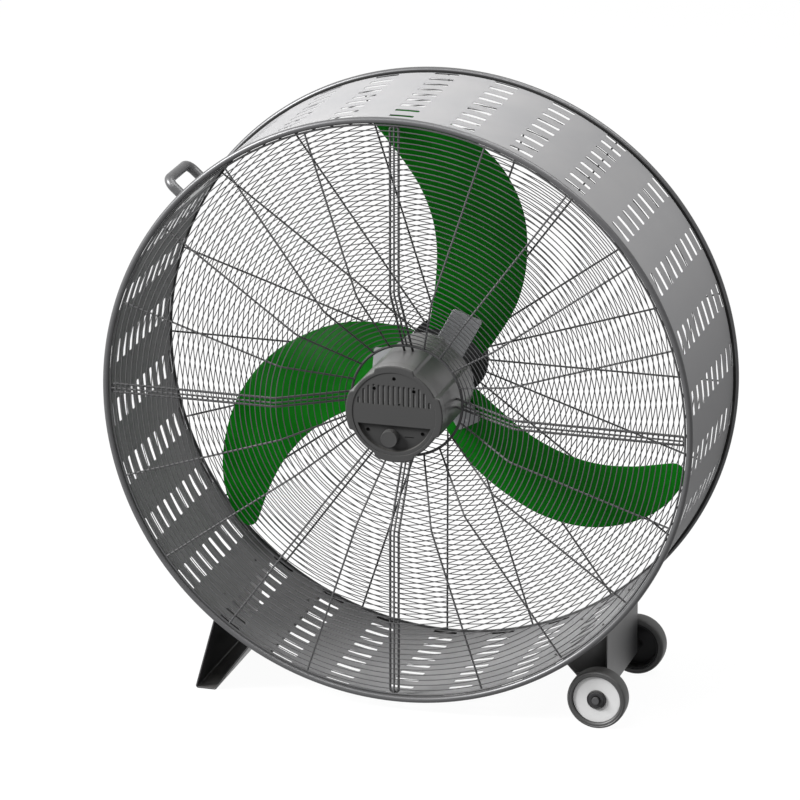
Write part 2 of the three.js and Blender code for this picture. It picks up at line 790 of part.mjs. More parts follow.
// The board, with a transformer, a large capacitor and a heat sink on its back.
function controlBoard() {
  const boardBack = boardFront + boardThickness;
  const board = slab(circle(boardRadius), boardFront, boardBack);
  const blocks = boardBlocks.map(([width, height, depth, x, z]) => (
    new THREE.BoxGeometry(width, depth + overrun, height).translate(x, boardBack + (depth - overrun) / 2, z)
  ));
  const capacitor = slab(circle(capacitorRadius, ...capacitorPlace), boardBack - overrun,
    boardBack + capacitorLength, 1);
  return join(board, ...blocks, capacitor);
}

const coverScrews = [
  ...faceScrews.map((at) => coverScrew(at, facePlane)),
  ...recessScrews.map((at) => coverScrew(at, recessFloor)),
];

place('front_cover', frontCover(), motorPaint());
coverScrews.forEach((screw, i) => place(`cover_screw_${i + 1}`, screw, darkSteel()));
place('control_board', controlBoard(), boardGreen());
place('speed_control', speedControl(), steel());
place('speed_knob', speedKnob(), motorPaint());
place('knob_shaft', knobShaft(), steel());

// ---- Impeller ----

// A point on the middle of the blade's sheet: how far along the span, and how far over the chord.
function bladePoint(span, chord) {
  const next = Math.max(1, bladeStations.findIndex(([share]) => share >= span));
  const [before, after] = [bladeStations[next - 1], bladeStations[next]];
  const share = (span - before[0]) / (after[0] - before[0]);
  const [, lead, trail, leadDepth, trailDepth] = before.map((value, i) => value + (after[i] - value) * share);
  const radius = bladeRootRadius + (bladeTipRadius - bladeRootRadius) * span;
  const bulge = bladeCamber * (1 - span) * 4 * chord * (1 - chord);
  return polar(radius, lead + (trail - lead) * chord, leadDepth + (trailDepth - leadDepth) * chord - bulge);
}

// The blade's sheet: a front and a back skin over the stations, closed round the edge.
function bladeSkin() {
  const points = [];
  for (const side of [-1, 1]) {
    for (const [span] of bladeStations) {
      for (let step = 0; step <= chordSteps; step += 1) {
        const point = bladePoint(span, step / chordSteps);
        point.y += (side * bladeSheet) / 2;
        points.push(...point.toArray());
      }
    }
  }
  const across = chordSteps + 1;
  const stations = bladeStations.length;
  const corner = (side, station, step) => (side * stations + station) * across + step;
  const index = [];
  const quad = (a, b, c, d) => index.push(a, b, c, a, c, d);
  for (let station = 0; station < stations - 1; station += 1) {
    for (let step = 0; step < chordSteps; step += 1) {
      const front = corner(0, station, step);
      const back = corner(1, station, step);
      quad(front, front + across, front + across + 1, front + 1);
      quad(back, back + 1, back + across + 1, back + across);
    }
    for (const [step, flip] of [[0, false], [chordSteps, true]]) {
      const [a, b] = [corner(0, station, step), corner(0, station + 1, step)];
      const [c, d] = [corner(1, station + 1, step), corner(1, station, step)];
      if (flip) quad(a, b, c, d);
      else quad(a, d, c, b);
    }
  }
  for (let step = 0; step < chordSteps; step += 1) {
    for (const [station, flip] of [[0, true], [stations - 1, false]]) {
      const [a, b] = [corner(0, station, step), corner(0, station, step + 1)];
      const [c, d] = [corner(1, station, step + 1), corner(1, station, step)];
      if (flip) quad(a, b, c, d);
      else quad(a, d, c, b);
    }
  }
  return geometryFrom(points, index);
}

// The frame of the first blade's bracket: x along the radius, y through the sheet towards the back,
// z over the chord. Its origin is on the axis side, on the blade's front skin.
function bracketFrame() {
  const middleRadius = (bladeRootRadius + bracketReach) / 2;
  const span = (middleRadius - bladeRootRadius) / (bladeTipRadius - bladeRootRadius);
  const angleOf = (chord) => {
    const point = bladePoint(span, chord);
    return THREE.MathUtils.radToDeg(Math.atan2(point.z, point.x));
  };
  const chord = (bracketAngle - angleOf(0)) / (angleOf(1) - angleOf(0));
  const radial = polar(1, bracketAngle);
  const nearby = 0.05; // share of the chord over which the blade's tilt is taken
  const over = bladePoint(span, chord + nearby).sub(bladePoint(span, chord - nearby));
  over.addScaledVector(radial, -over.dot(radial)).normalize();
  const through = over.clone().cross(radial).normalize();
  const origin = bladePoint(span, chord).addScaledVector(radial, -middleRadius);
  origin.y -= bladeSheet / 2 / through.y;
  return new THREE.Matrix4().makeBasis(radial, through, over).setPosition(origin);
}

const bracketFrontFace = -bracketClearance - bracketSheet;

// A round bar through the bracket's sheet, as far from the axis as a rivet.
function rivetBar(radius, at, from, to, sides) {
  return bar(radius, new THREE.Vector3(at, from, 0), new THREE.Vector3(at, to, 0), sides)
    .applyMatrix4(bracketFrame());
}

function rivetHoles() {
  return rivetPlaces.map((at) => rivetBar(rivetRadius + seatGap, at, -throughReach, throughReach, nutSides));
}

// The bracket is a flat plate that ends in a weld on the hub.
function bladeBracket() {
  const plate = new THREE.BoxGeometry(bracketReach, bracketSheet, bracketWidth);
  plate.translate(bracketReach / 2, bracketFrontFace + bracketSheet / 2, 0);
  plate.applyMatrix4(bracketFrame());
  const seat = hubRadius + seatGap;
  const [front, back] = [hubFront - throughReach, hubBack + throughReach];
  const hub = turned([[0, front], [seat, front], [seat, back], [0, back]], circleSteps);
  return cut(plate, hub, ...rivetHoles());
}

// A rivet that is flush with the bracket's front and has its head behind the blade.
function bladeRivet(at) {
  const headFace = bladeSheet + bracketClearance;
  const shank = rivetBar(rivetRadius, at, bracketFrontFace, headFace + rivetHeadHeight / 2, nutSides);
  const head = rivetBar(rivetHeadRadius, at, headFace, headFace + rivetHeadHeight, smallSteps);
  return join(shank, head);
}

function fanHub() {
  const bore = shaftRadius + seatGap;
  return turned([
    [bore, hubFront], [hubRadius - hubEdge, hubFront], [hubRadius, hubFront + hubEdge],
    [hubRadius, hubBack], [bore, hubBack],
  ], circleSteps);
}

function hubNut() {
  const bore = shaftRadius + seatGap;
  const nut = bar(hubNutRadius, polar(0, 0, hubBack + seatGap), polar(0, 0, nutBack), nutSides);
  return cut(nut, turned([[0, hubBack], [bore, hubBack], [bore, shaftBack], [0, shaftBack]], circleSteps));
}

place('fan_hub', fanHub(), castHub());
place('hub_nut', hubNut(), steel());
for (let number = 0; number < bladeCount; number += 1) {
  const turn = (-number * 2 * Math.PI) / bladeCount;
  place(`blade_${number + 1}`, cut(bladeSkin(), ...rivetHoles()).rotateY(turn), greenPlastic());
  place(`blade_bracket_${number + 1}`, bladeBracket().rotateY(turn), castHub());
  rivetPlaces.forEach((at, i) => {
    place(`blade_rivet_${number + 1}_${i + 1}`, bladeRivet(at).rotateY(turn), steel());
  });
}

// ---- Leg ----

// The outline of a folded sheet: the line of one face, and the other face a sheet's thickness to its
// left, with square mitres at the folds.
function foldedOutline(line, thickness) {
  const points = line.map((point) => new THREE.Vector2(point.x, point.z ?? point.y));
  const directions = points.slice(1).map((point, i) => point.clone().sub(points[i]).normalize());
  const offset = points.map((point, i) => {
    const before = directions[Math.max(0, i - 1)];
    const after = directions[Math.min(directions.length - 1, i)];
    const normal = new THREE.Vector2(-before.y - after.y, before.x + after.x).normalize();
    const square = new THREE.Vector2(-after.y, after.x);
    return point.clone().addScaledVector(normal, thickness / normal.dot(square));
  });
  return new THREE.Shape([...points, ...offset.reverse()]);
}

function legLine() {
  const face = seatGap + legSheet;
  const fold = onStrip(legStrips[0], face, legCorners[0]);
  const footLeft = fold.x - legSpread;
  return [
    onStrip(legStrips[0], face, legFlangeEnds[0]),
    fold,
    new THREE.Vector3(footLeft, 0, floorZ),
    new THREE.Vector3(footLeft + legFootWidth, 0, floorZ),
    onStrip(legStrips[1], face, legCorners[1]),
    onStrip(legStrips[1], face, legFlangeEnds[1]),
  ];
}

place('leg', cut(slab(foldedOutline(legLine(), legSheet), legFront, legBack),
  ...legBolts.map((bolt) => boltHole(...bolt))), blackPaint());
legBolts.forEach((bolt, i) => place(`leg_bolt_${i + 1}`, flangeBolt(...bolt), darkSteel()));

// ---- Wheel bracket and axle ----

const channelFold = onStrip(channelStrips[1], seatGap, channelCorners[1]);
const channelRight = channelFold.x + channelLean;
const axleX = channelRight - axleInset;
const axleZ = floorZ + wheelRadius;
const channelFloor = axleZ - axleRadius - seatGap - legSheet;

// The channel's left flange lies outside it and its right flange is folded in over it.
function channelLine() {
  return [
    onStrip(channelStrips[0], seatGap + legSheet, channelFlangeEnds[0]),
    onStrip(channelStrips[0], seatGap + legSheet, channelCorners[0]),
    new THREE.Vector3(channelRight - channelWidth, 0, channelFloor),
    new THREE.Vector3(channelRight, 0, channelFloor),
    channelFold,
    onStrip(channelStrips[1], seatGap, channelFlangeEnds[1]),
  ];
}

// A cheek welded across one end of the channel, with the hole for the axle.
function cheek(front) {
  const line = channelLine();
  const [top, low] = [line[1], line[2]];
  const share = cheekHeight / (top.z - low.z);
  const outline = new THREE.Shape();
  outline.moveTo(low.x + legSheet / 2, low.z + legSheet / 2);
  outline.lineTo(channelRight - legSheet / 2, low.z + legSheet / 2);
  outline.lineTo(channelRight - legSheet / 2, low.z + cheekHeight);
  outline.lineTo(low.x + (top.x - low.x) * share + legSheet, low.z + cheekHeight);
  return slab(withHole(outline, circle(axleRadius + seatGap, axleX, axleZ)), front, front + legSheet);
}

function wheelBracket() {
  const channel = slab(foldedOutline(channelLine(), legSheet), bracketFront, bracketBack);
  return cut(join(channel, cheek(bracketFront), cheek(bracketBack - legSheet)),
    ...channelBolts.map((bolt) => boltHole(...bolt)));
}

const capFace = discInset - capHeight; // depth of a hub cap's face behind its tyre's face

function axle() {
  const front = wheelFront + capFace - seatGap;
  const back = rearWheelBack - capFace + seatGap;
  return turned([
    [0, front - axleHeadLength], [axleHeadRadius, front - axleHeadLength], [axleHeadRadius, front],
    [axleRadius, front], [axleRadius, back], [axleHeadRadius, back],
    [axleHeadRadius, back + axleHeadLength], [0, back + axleHeadLength],
  ], circleSteps).translate(axleX, 0, axleZ);
}

place('wheel_bracket', wheelBracket(), blackPaint());
channelBolts.forEach((bolt, i) => place(`bracket_bolt_${i + 1}`, flangeBolt(...bolt), darkSteel()));
place('axle', axle(), steel());

// ---- Wheels ----

const discSeat = rimDiscRadius + flatSag(rimDiscRadius) + seatGap; // inside of the tyre

// The wheels are turned about their own axis, with depth measured in from the outer face.
function tyre() {
  const crown = wheelRadius - tyreCrown;
  const shoulder = wheelRadius - tyreRound;
  return turned([
    [discSeat, tyreBead], [crown, 0], [shoulder, tyreCrown], [wheelRadius, wheelWidth / 2],
    [shoulder, wheelWidth - tyreCrown], [crown, wheelWidth], [discSeat, wheelWidth - tyreBead],
  ], circleSteps);
}

// The rim disc: a flat web with a band round its edge that carries the tyre, and a long hub.
function rimDisc(hubEnd) {
  const bore = axleRadius + seatGap;
  const band = rimDiscRadius - discBand;
  const bandEnd = wheelWidth - discBandInset;
  const webBack = discInset + discWeb;
  return turned([
    [bore, discInset], [rimDiscRadius, discInset], [rimDiscRadius, bandEnd], [band, bandEnd],
    [band, webBack], [wheelHubRadius, webBack], [wheelHubRadius, hubEnd], [bore, hubEnd],
  ], circleSteps);
}

function hubCap() {
  const bore = axleRadius + seatGap;
  const back = discInset - seatGap;
  return turned([
    [bore, capFace], [capRadius - capEdge, capFace], [capRadius, capFace + capEdge],
    [capRadius, back], [bore, back],
  ], circleSteps);
}

// One wheel: the depth of its outer face, the way in from there, and the depth at which its hub ends.
function wheel(name, faceDepth, inward, hubEnd) {
  const pieces = [
    ['tyre', tyre(), rubber()],
    ['disc', rimDisc(hubEnd), palePlastic()],
    ['cap', hubCap(), blackPaint()],
  ];
  for (const [piece, geometry, material] of pieces) {
    if (inward < 0) geometry.rotateX(Math.PI);
    geometry.translate(axleX, faceDepth, axleZ);
    place(`${name}_${piece}`, geometry, material);
  }
}

wheel('front_wheel', wheelFront, 1, bracketFront - wheelFront - runGap);
wheel('rear_wheel', rearWheelBack, -1, rearWheelBack - bracketBack - runGap);

// ---- Handle ----

// The tube leaves the drum along a radius, bends, runs along the drum and comes back.
function handle() {
  const crossbar = handleReach - handleTube / 2;
  const foot = shellRadius + seatGap;
  const at = (radius, depth) => polar(radius, handleAngle, depth);
  const [first, second] = handleDepths;
  const shoulder = crossbar - handleBend;
  const path = new THREE.CurvePath();
  path.add(new THREE.LineCurve3(at(foot, first), at(shoulder, first)));
  path.add(new THREE.QuadraticBezierCurve3(
    at(shoulder, first), at(crossbar, first), at(crossbar, first + handleBend)));
  path.add(new THREE.LineCurve3(at(crossbar, first + handleBend), at(crossbar, second - handleBend)));
  path.add(new THREE.QuadraticBezierCurve3(
    at(crossbar, second - handleBend), at(crossbar, second), at(shoulder, second)));
  path.add(new THREE.LineCurve3(at(shoulder, second), at(foot, second)));
  return new THREE.ExtrudeGeometry(circle(handleTube / 2), {
    steps: handleSteps, extrudePath: path, curveSegments: 1, bevelEnabled: false,
  });
}

place('handle', handle(), drumPaint());

export default fan;
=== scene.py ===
"""A drum fan, dressed for the camera: a slotted steel drum on a leg and two wheels, with a wire guard
at each end, a motor in the middle of the front guard and three swept blades behind it."""

import math

import bmesh
import bpy
from mathutils import Matrix, Quaternion, Vector
from mathutils.geometry import delaunay_2d_cdt


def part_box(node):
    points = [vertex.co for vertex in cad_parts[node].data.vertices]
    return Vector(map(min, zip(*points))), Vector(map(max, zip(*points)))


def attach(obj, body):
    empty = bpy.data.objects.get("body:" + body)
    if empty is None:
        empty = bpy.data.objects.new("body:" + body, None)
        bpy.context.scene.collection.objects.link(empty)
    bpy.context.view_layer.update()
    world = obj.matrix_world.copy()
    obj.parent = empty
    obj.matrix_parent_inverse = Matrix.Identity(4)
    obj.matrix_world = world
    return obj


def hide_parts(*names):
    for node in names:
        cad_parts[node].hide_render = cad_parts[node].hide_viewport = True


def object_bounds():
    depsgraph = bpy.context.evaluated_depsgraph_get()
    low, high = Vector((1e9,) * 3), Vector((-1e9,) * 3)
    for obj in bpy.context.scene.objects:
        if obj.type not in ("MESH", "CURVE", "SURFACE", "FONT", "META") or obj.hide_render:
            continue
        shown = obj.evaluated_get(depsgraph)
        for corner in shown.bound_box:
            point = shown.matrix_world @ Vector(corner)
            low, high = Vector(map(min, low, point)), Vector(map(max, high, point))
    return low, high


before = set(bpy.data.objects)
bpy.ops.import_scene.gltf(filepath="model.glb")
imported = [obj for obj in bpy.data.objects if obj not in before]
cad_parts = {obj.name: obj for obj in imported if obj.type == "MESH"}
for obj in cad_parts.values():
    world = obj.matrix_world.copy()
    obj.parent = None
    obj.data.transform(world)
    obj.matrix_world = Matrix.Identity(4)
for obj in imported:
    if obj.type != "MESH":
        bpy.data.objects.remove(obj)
cad_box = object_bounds()
scene = bpy.context.scene

# ---- Camera ----
# A long lens looks down at the fan from the front and a little from the right, so that the outside of
# the drum shows on the right and its inside on the left.

camera_place = Vector((3.1281, -10.7434, 4.3506))
camera_target = Vector((0.01488, -0.2066, 0.681))
camera_lens = 257.05
camera_data = bpy.data.cameras.new("camera")
camera_data.lens = camera_lens
camera = bpy.data.objects.new("camera", camera_data)
camera.location = camera_place
camera.rotation_euler = (camera_target - camera_place).to_track_quat("-Z", "Y").to_euler()
scene.collection.objects.link(camera)
scene.camera = camera

# ---- Studio ----
# A plain pale floor under soft light: two lamps above the fan, a stronger one far off on the left, and
# an even grey sky that looks white to the camera.

scene.view_settings.view_transform = "Standard"
white = (1, 1, 1, 1)
sky_level = 0.12
floor_size = 60
floor_shade = (0.35, 0.35, 0.35, 1)
floor_glow = 1.07  # makes up for what the floor's shade takes from its white
floor_shadow_share = 0.1  # how much of the floor's own light and shadow the camera sees
lamps = [
    # name, place, target, size and power
    ("back_lamp", (1.5, 0.4, 4.8), (0, 0, 0.7), 3, 270),
    ("front_lamp", (-0.2, -3, 5), (0, 0, 0.6), 2, 170),
    ("left_lamp", (-6.6, -4, 5.2), (0, 0, 0.6), 3, 2600),
]


def add_node(tree, kind, inputs, **settings):
    """A shader node with its settings, and with values or other nodes' sockets on its inputs."""
    node = tree.nodes.new("ShaderNode" + kind)
    for name, value in settings.items():
        setattr(node, name, value)
    for name, value in inputs.items():
        if isinstance(value, bpy.types.NodeSocket):
            tree.links.new(value, node.inputs[name])
        else:
            node.inputs[name].default_value = value
    return node


def shader_tree(owner):
    """The emptied shader tree of a material or a sky."""
    owner.use_nodes = True
    owner.node_tree.nodes.clear()
    return owner.node_tree


def add_maths(tree, operation, *values):
    """The outcome of a sum over values or other nodes' sockets."""
    return add_node(tree, "Math", dict(enumerate(values)), operation=operation).outputs[0]


def add_backdrop_mask(tree):
    """1 where a ray comes from the camera, a reflection or glass, and 0 where it only lights."""
    path = add_node(tree, "LightPath", {}).outputs
    mirror = add_maths(tree, "MAXIMUM", path["Is Glossy Ray"], path["Is Transmission Ray"])
    return add_maths(tree, "MAXIMUM", path["Is Camera Ray"], mirror)


def add_lamp(name, place, target, size, power):
    """A square soft lamp that shines from its place towards a target."""
    data = bpy.data.lights.new(name, "AREA")
    data.size = size
    data.energy = power
    lamp = bpy.data.objects.new(name, data)
    lamp.location = place
    lamp.rotation_euler = (Vector(target) - Vector(place)).to_track_quat("-Z", "Y").to_euler()
    scene.collection.objects.link(lamp)


sky = bpy.data.worlds.new("sky")
sky_tree = shader_tree(sky)
sky_light = add_node(sky_tree, "Background", {"Color": white, "Strength": sky_level})
sky_seen = add_node(sky_tree, "Background", {"Color": white, "Strength": 1})
sky_mix = add_node(sky_tree, "MixShader", {0: add_backdrop_mask(sky_tree),
    1: sky_light.outputs[0], 2: sky_seen.outputs[0]})
add_node(sky_tree, "OutputWorld", {"Surface": sky_mix.outputs[0]})
scene.world = sky

floor_paint = bpy.data.materials.new("floor_paint")
floor_tree = shader_tree(floor_paint)
floor_matt = add_node(floor_tree, "BsdfDiffuse", {"Color": floor_shade})
floor_white = add_node(floor_tree, "Emission", {"Color": white, "Strength": floor_glow})
floor_share = add_maths(floor_tree, "MULTIPLY", add_backdrop_mask(floor_tree), 1 - floor_shadow_share)
floor_mix = add_node(floor_tree, "MixShader", {0: floor_share,
    1: floor_matt.outputs[0], 2: floor_white.outputs[0]})
add_node(floor_tree, "OutputMaterial", {"Surface": floor_mix.outputs[0]})

bpy.ops.mesh.primitive_plane_add(size=floor_size, location=(0, 0, cad_box[0].z))
floor = bpy.context.object
floor.name = "floor"
floor.data.materials.append(floor_paint)

for lamp in lamps:
    add_lamp(*lamp)

# ---- Drum sheet ----
# A rolled sheet of steel, punched with columns of slots that have round corners, and powder coated
# in anthracite. Both its ends lie in the beads. The fan's lengths are in millimetres from here on.

MM = 0.001
rim_low, rim_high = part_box("front_rim")
drum_front = rim_low.y
drum_depth = (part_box("rear_rim")[1].y - drum_front) / MM
axis_height = (rim_low.z + rim_high.z) / 2
bead_radius = (rim_high.x - rim_low.x) / 2 / MM
# x, depth behind the front bead's face and z from the drum's axis, in millimetres
on_drum = Matrix.Translation((0, drum_front, axis_height)) @ Matrix.Scale(MM, 4)

bead_proud = 10.5  # beads' outside over the sheet's
shell_radius = bead_radius - bead_proud
shell_sheet = 1.2
shell_inset = 12.6  # sheet's ends from the beads' outer faces
slot_columns = 30
slot_rows = 10
first_slot_angle = 6
slot_row_pitch = 41.2
slot_half = (25.5, 7)  # round the drum and along it
slot_corner = 3.6
slot_margin = 1.6  # frame of sheet that is drawn round a slot
slot_corner_steps = 4
strip_steps = 5
same_digits = 4  # corners that agree to so many digits are one
weld_distance = 1e-6  # in metres


def polar(radius, degrees, depth=0):
    """A point at a radius and an angle from +X towards +Z, at a depth."""
    turn = math.radians(degrees)
    return Vector((radius * math.cos(turn), depth, radius * math.sin(turn)))


def spread(low, high, steps):
    """Even steps from one value up to, and without, another."""
    return [low + (high - low) * step / steps for step in range(steps)]


def colour(red, green, blue):
    """A shader colour from the three levels, 0 to 255, that a picture shows it at."""
    def linear(level):
        share = level / 255
        return share / 12.92 if share <= 0.04045 else ((share + 0.055) / 1.055) ** 2.4
    return (linear(red), linear(green), linear(blue), 1)


def new_effect(name, inputs, outputs):
    """A node group that several finishes share, with its named inputs and outputs."""
    group = bpy.data.node_groups.new(name, "ShaderNodeTree")
    for label, kind, value in inputs:
        socket = group.interface.new_socket(label, in_out="INPUT", socket_type="NodeSocket" + kind)
        socket.default_value = value
    for label, kind in outputs:
        group.interface.new_socket(label, in_out="OUTPUT", socket_type="NodeSocket" + kind)
    return group, group.nodes.new("NodeGroupInput").outputs, group.nodes.new("NodeGroupOutput").inputs


def add_noise(tree, size, detail):
    """Noise over the piece, whose lumps are as large as a size in metres. Its level is 0 to 1."""
    place = add_node(tree, "TexCoord", {}).outputs["Object"]
    scale = add_maths(tree, "DIVIDE", 1, size)
    return add_node(tree, "TexNoise", {"Vector": place, "Scale": scale, "Detail": detail}).outputs[0]


def add_range(tree, value, from_low, from_high, to_low, to_high):
    """A value moved from one range to another, and held inside it."""
    return add_node(tree, "MapRange", {"Value": value, "From Min": from_low, "From Max": from_high,
        "To Min": to_low, "To Max": to_high}).outputs[0]


# The skin of powder, casting or moulding: slow changes of tone and a fine grain.
grain, given, made = new_effect("surface_grain",
    [("Color", "Color", (0.5, 0.5, 0.5, 1)), ("Roughness", "Float", 0.5), ("Tone", "Float", 0.05),
     ("Patch Size", "Float", 0.05), ("Grain Size", "Float", 0.001), ("Grain Depth", "Float", 0.00002)],
    [("Color", "Color"), ("Roughness", "Float"), ("Normal", "Vector")])
patches = add_noise(grain, given["Patch Size"], 3)
fines = add_noise(grain, given["Grain Size"], 2)
swing = add_maths(grain, "SUBTRACT", add_maths(grain, "ADD", patches, fines), 1)
level = add_maths(grain, "MULTIPLY", swing, given["Tone"])
toned = add_node(grain, "VectorMath", {0: given["Color"], "Scale": add_maths(grain, "ADD", level, 1)},
    operation="SCALE")
relief = add_node(grain, "Bump", {"Height": fines, "Distance": given["Grain Depth"]})
grain.links.new(toned.outputs[0], made["Color"])
grain.links.new(add_maths(grain, "ADD", level, given["Roughness"]), made["Roughness"])
grain.links.new(relief.outputs[0], made["Normal"])

# A film of dust on what faces up, thicker in patches.
dust, given, made = new_effect("settled_dust",
    [("Color", "Color", (0.5, 0.5, 0.5, 1)), ("Roughness", "Float", 0.5), ("Amount", "Float", 0.2)],
    [("Color", "Color"), ("Roughness", "Float")])
facing = add_node(dust, "SeparateXYZ", {"Vector": add_node(dust, "NewGeometry", {}).outputs["Normal"]})
upward = add_range(dust, facing.outputs["Z"], 0.1, 1, 0, 1)
drift = add_range(dust, add_noise(dust, 0.09, 5), 0.35, 0.7, 0.2, 1)
film = add_maths(dust, "MULTIPLY", add_maths(dust, "MULTIPLY", upward, drift), given["Amount"])
greyed = add_node(dust, "MixRGB", {"Fac": film, "Color1": given["Color"], "Color2": colour(176, 172, 165)})
dulled = add_maths(dust, "MULTIPLY_ADD", film, 0.3, given["Roughness"])
dust.links.new(greyed.outputs[0], made["Color"])
dust.links.new(dulled, made["Roughness"])


def coated(name, base, roughness, metallic=0.0, specular=0.5, tone=0.08, patch=60, grain_size=1.2,
           grain_depth=0.02, dusty=0.1):
    """A painted, cast or moulded finish. Patch, grain size and grain depth are in millimetres."""
    material = bpy.data.materials.new(name)
    tree = shader_tree(material)
    skin = add_node(tree, "Group", {"Color": base, "Roughness": roughness, "Tone": tone,
        "Patch Size": patch * MM, "Grain Size": grain_size * MM, "Grain Depth": grain_depth * MM},
        node_tree=grain)
    film = add_node(tree, "Group", {"Color": skin.outputs["Color"],
        "Roughness": skin.outputs["Roughness"], "Amount": dusty}, node_tree=dust)
    shader = add_node(tree, "BsdfPrincipled", {"Base Color": film.outputs["Color"],
        "Roughness": film.outputs["Roughness"], "Normal": skin.outputs["Normal"],
        "Metallic": metallic, "Specular IOR Level": specular})
    add_node(tree, "OutputMaterial", {"Surface": shader.outputs[0]})
    return material


def add_piece(name, skin, body, material, stands_for=(), crease=35):
    """A piece from its skin of points and faces, fitted to a body of the frame."""
    points, faces = skin
    mesh = bpy.data.meshes.new(name)
    mesh.from_pydata([on_drum @ point for point in points], [], faces)
    work = bmesh.new()
    work.from_mesh(mesh)
    bmesh.ops.remove_doubles(work, verts=work.verts, dist=weld_distance)
    bmesh.ops.recalc_face_normals(work, faces=work.faces)
    work.to_mesh(mesh)
    work.free()
    mesh.validate()
    mesh.update()
    mesh.shade_smooth()
    mesh.set_sharp_from_angle(angle=math.radians(crease))
    mesh.materials.append(material)
    piece = bpy.data.objects.new(name, mesh)
    scene.collection.objects.link(piece)
    flat_faces = piece.modifiers.new("flat_faces", "WEIGHTED_NORMAL")
    flat_faces.keep_sharp = True
    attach(piece, body)
    if stands_for:
        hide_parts(*stands_for)


def thickened(front, back, faces):
    """A sheet between two skins of like points, with walls along every open edge."""
    walls = {}
    for face in faces:
        for a, b in zip(face, face[1:] + face[:1]):
            if (b, a) in walls:
                del walls[b, a]
            else:
                walls[a, b] = (a, b, b + len(front), a + len(front))
    behind = [tuple(corner + len(front) for corner in face) for face in faces]
    return front + back, faces + behind + list(walls.values())


def slot_outline():
    """Points round one slot, each with its neighbour on the frame of sheet drawn round the slot."""
    pairs = []
    for quarter, side in enumerate(((1, 1), (-1, 1), (-1, -1), (1, -1))):
        middle = [sign * (half - slot_corner) for sign, half in zip(side, slot_half)]
        for step in range(slot_corner_steps + 1):
            turn = math.radians(90 * (quarter + step / slot_corner_steps))
            way = (math.cos(turn), math.sin(turn))
            square = (slot_corner + slot_margin) / max(abs(way[0]), abs(way[1]))
            pairs.append([[round(m + reach * w, same_digits) for m, w in zip(middle, way)]
                          for reach in (slot_corner, square)])
        if quarter % 2 == 0:
            for share in (0.5, 0, -0.5):
                x = side[0] * share * slot_half[0]
                pairs.append(((x, side[1] * slot_half[1]), (x, side[1] * (slot_half[1] + slot_margin))))
    return pairs


def slotted_sheet():
    """The sheet's lines as a grid over the drum, which stops at each slot's frame. The slot's own
    outline is joined to that frame."""
    outline = slot_outline()
    reach = [half + slot_margin for half in slot_half]
    columns = sorted({x for _, (x, y) in outline if math.isclose(abs(y), reach[1])})
    rows = sorted({y for _, (x, y) in outline if math.isclose(abs(x), reach[0])})
    girth = 2 * math.pi * shell_radius
    pitch = girth / slot_columns
    strip = [reach[0] + (pitch - 2 * reach[0]) * step / strip_steps for step in range(1, strip_steps)]
    across = [column * pitch + x for column in range(slot_columns) for x in columns + strip]
    middles = [drum_depth / 2 + (row - (slot_rows - 1) / 2) * slot_row_pitch for row in range(slot_rows)]
    along = [shell_inset, *(middle + y for middle in middles for y in rows), drum_depth - shell_inset]
    places = {}

    def corner(x, depth):
        return places.setdefault((round(x % girth, same_digits), round(depth, same_digits)), len(places))

    faces = []
    for i, x in enumerate(across):
        following = across[(i + 1) % len(across)]
        over_slot = i % len(columns + strip) < len(columns) - 1
        for j, depth in enumerate(along[:-1]):
            beside_slot = 0 < j < len(along) - 1 and (j - 1) % len(rows) < len(rows) - 1
            if not (over_slot and beside_slot):
                faces.append((corner(x, depth), corner(x, along[j + 1]),
                              corner(following, along[j + 1]), corner(following, depth)))
    for column in range(slot_columns):
        for middle in middles:
            ring = [[corner(column * pitch + x, middle + y) for x, y in pair] for pair in outline]
            for (own, outer), (next_own, next_outer) in zip(ring, ring[1:] + ring[:1]):
                faces.append((own, next_own, next_outer, outer))

    def skin(radius):
        return [polar(radius, first_slot_angle + 360 * x / girth, depth) for x, depth in places]

    return thickened(skin(shell_radius), skin(shell_radius - shell_sheet), faces)


drum_paint = coated("drum_paint", colour(114, 114, 115), 0.55, specular=0.04, tone=0.05, dusty=0.06)
add_piece("drum_sheet", slotted_sheet(), "frame", drum_paint, ["drum_shell"])

# ---- Beads ----
# The drum's ends are rolled outwards into hollow beads, which stiffen it and guard its edges. They
# are painted a darker grey. A black band over the corner between bead and sheet, running up the
# bead's side, is painted shadow.

bead_depth = 13.5
bead_inner = shell_radius - 2.8
bead_steps = 240
bead_sides = 20
round_sides = 48  # of small turned pieces
# the painted shadow band's section: height over the sheet and distance from the bead's middle
bead_shadow_line = [(-0.4, 0), (-0.4, 7.4), (4, 7.4), (6, 6.2), (7.6, 4), (7.6, 0)]


def lofted(rings, closed=False):
    """A skin over rings of like points, closed at its ends or joined up from the last to the first."""
    size = len(rings[0])
    count = len(rings)
    faces = []
    for i in range(count if closed else count - 1):
        a, b = i * size, (i + 1) % count * size
        for j in range(size):
            k = (j + 1) % size
            faces.append((a + j, a + k, b + k, b + j))
    if not closed:
        faces += [tuple(range(size)), tuple(range((count - 1) * size, count * size))]
    return [point for ring in rings for point in ring], faces


def ring_of(radius, depth, sides=round_sides):
    """A circle about the depth line."""
    return [polar(radius, angle, depth) for angle in spread(0, 360, sides)]


def turned(profile, sides=round_sides, closed=False):
    """A piece turned about the depth line from radius and depth points, hollow where it is closed."""
    return lofted([ring_of(radius, depth, sides) for radius, depth in profile], closed)


def bead_profile(middle_depth):
    """A round bead, a little flatter along the radius."""
    half = (bead_radius - bead_inner) / 2
    return [(bead_inner + half + half * math.cos(turn), middle_depth + bead_depth / 2 * math.sin(turn))
            for turn in spread(0, 2 * math.pi, bead_sides)]


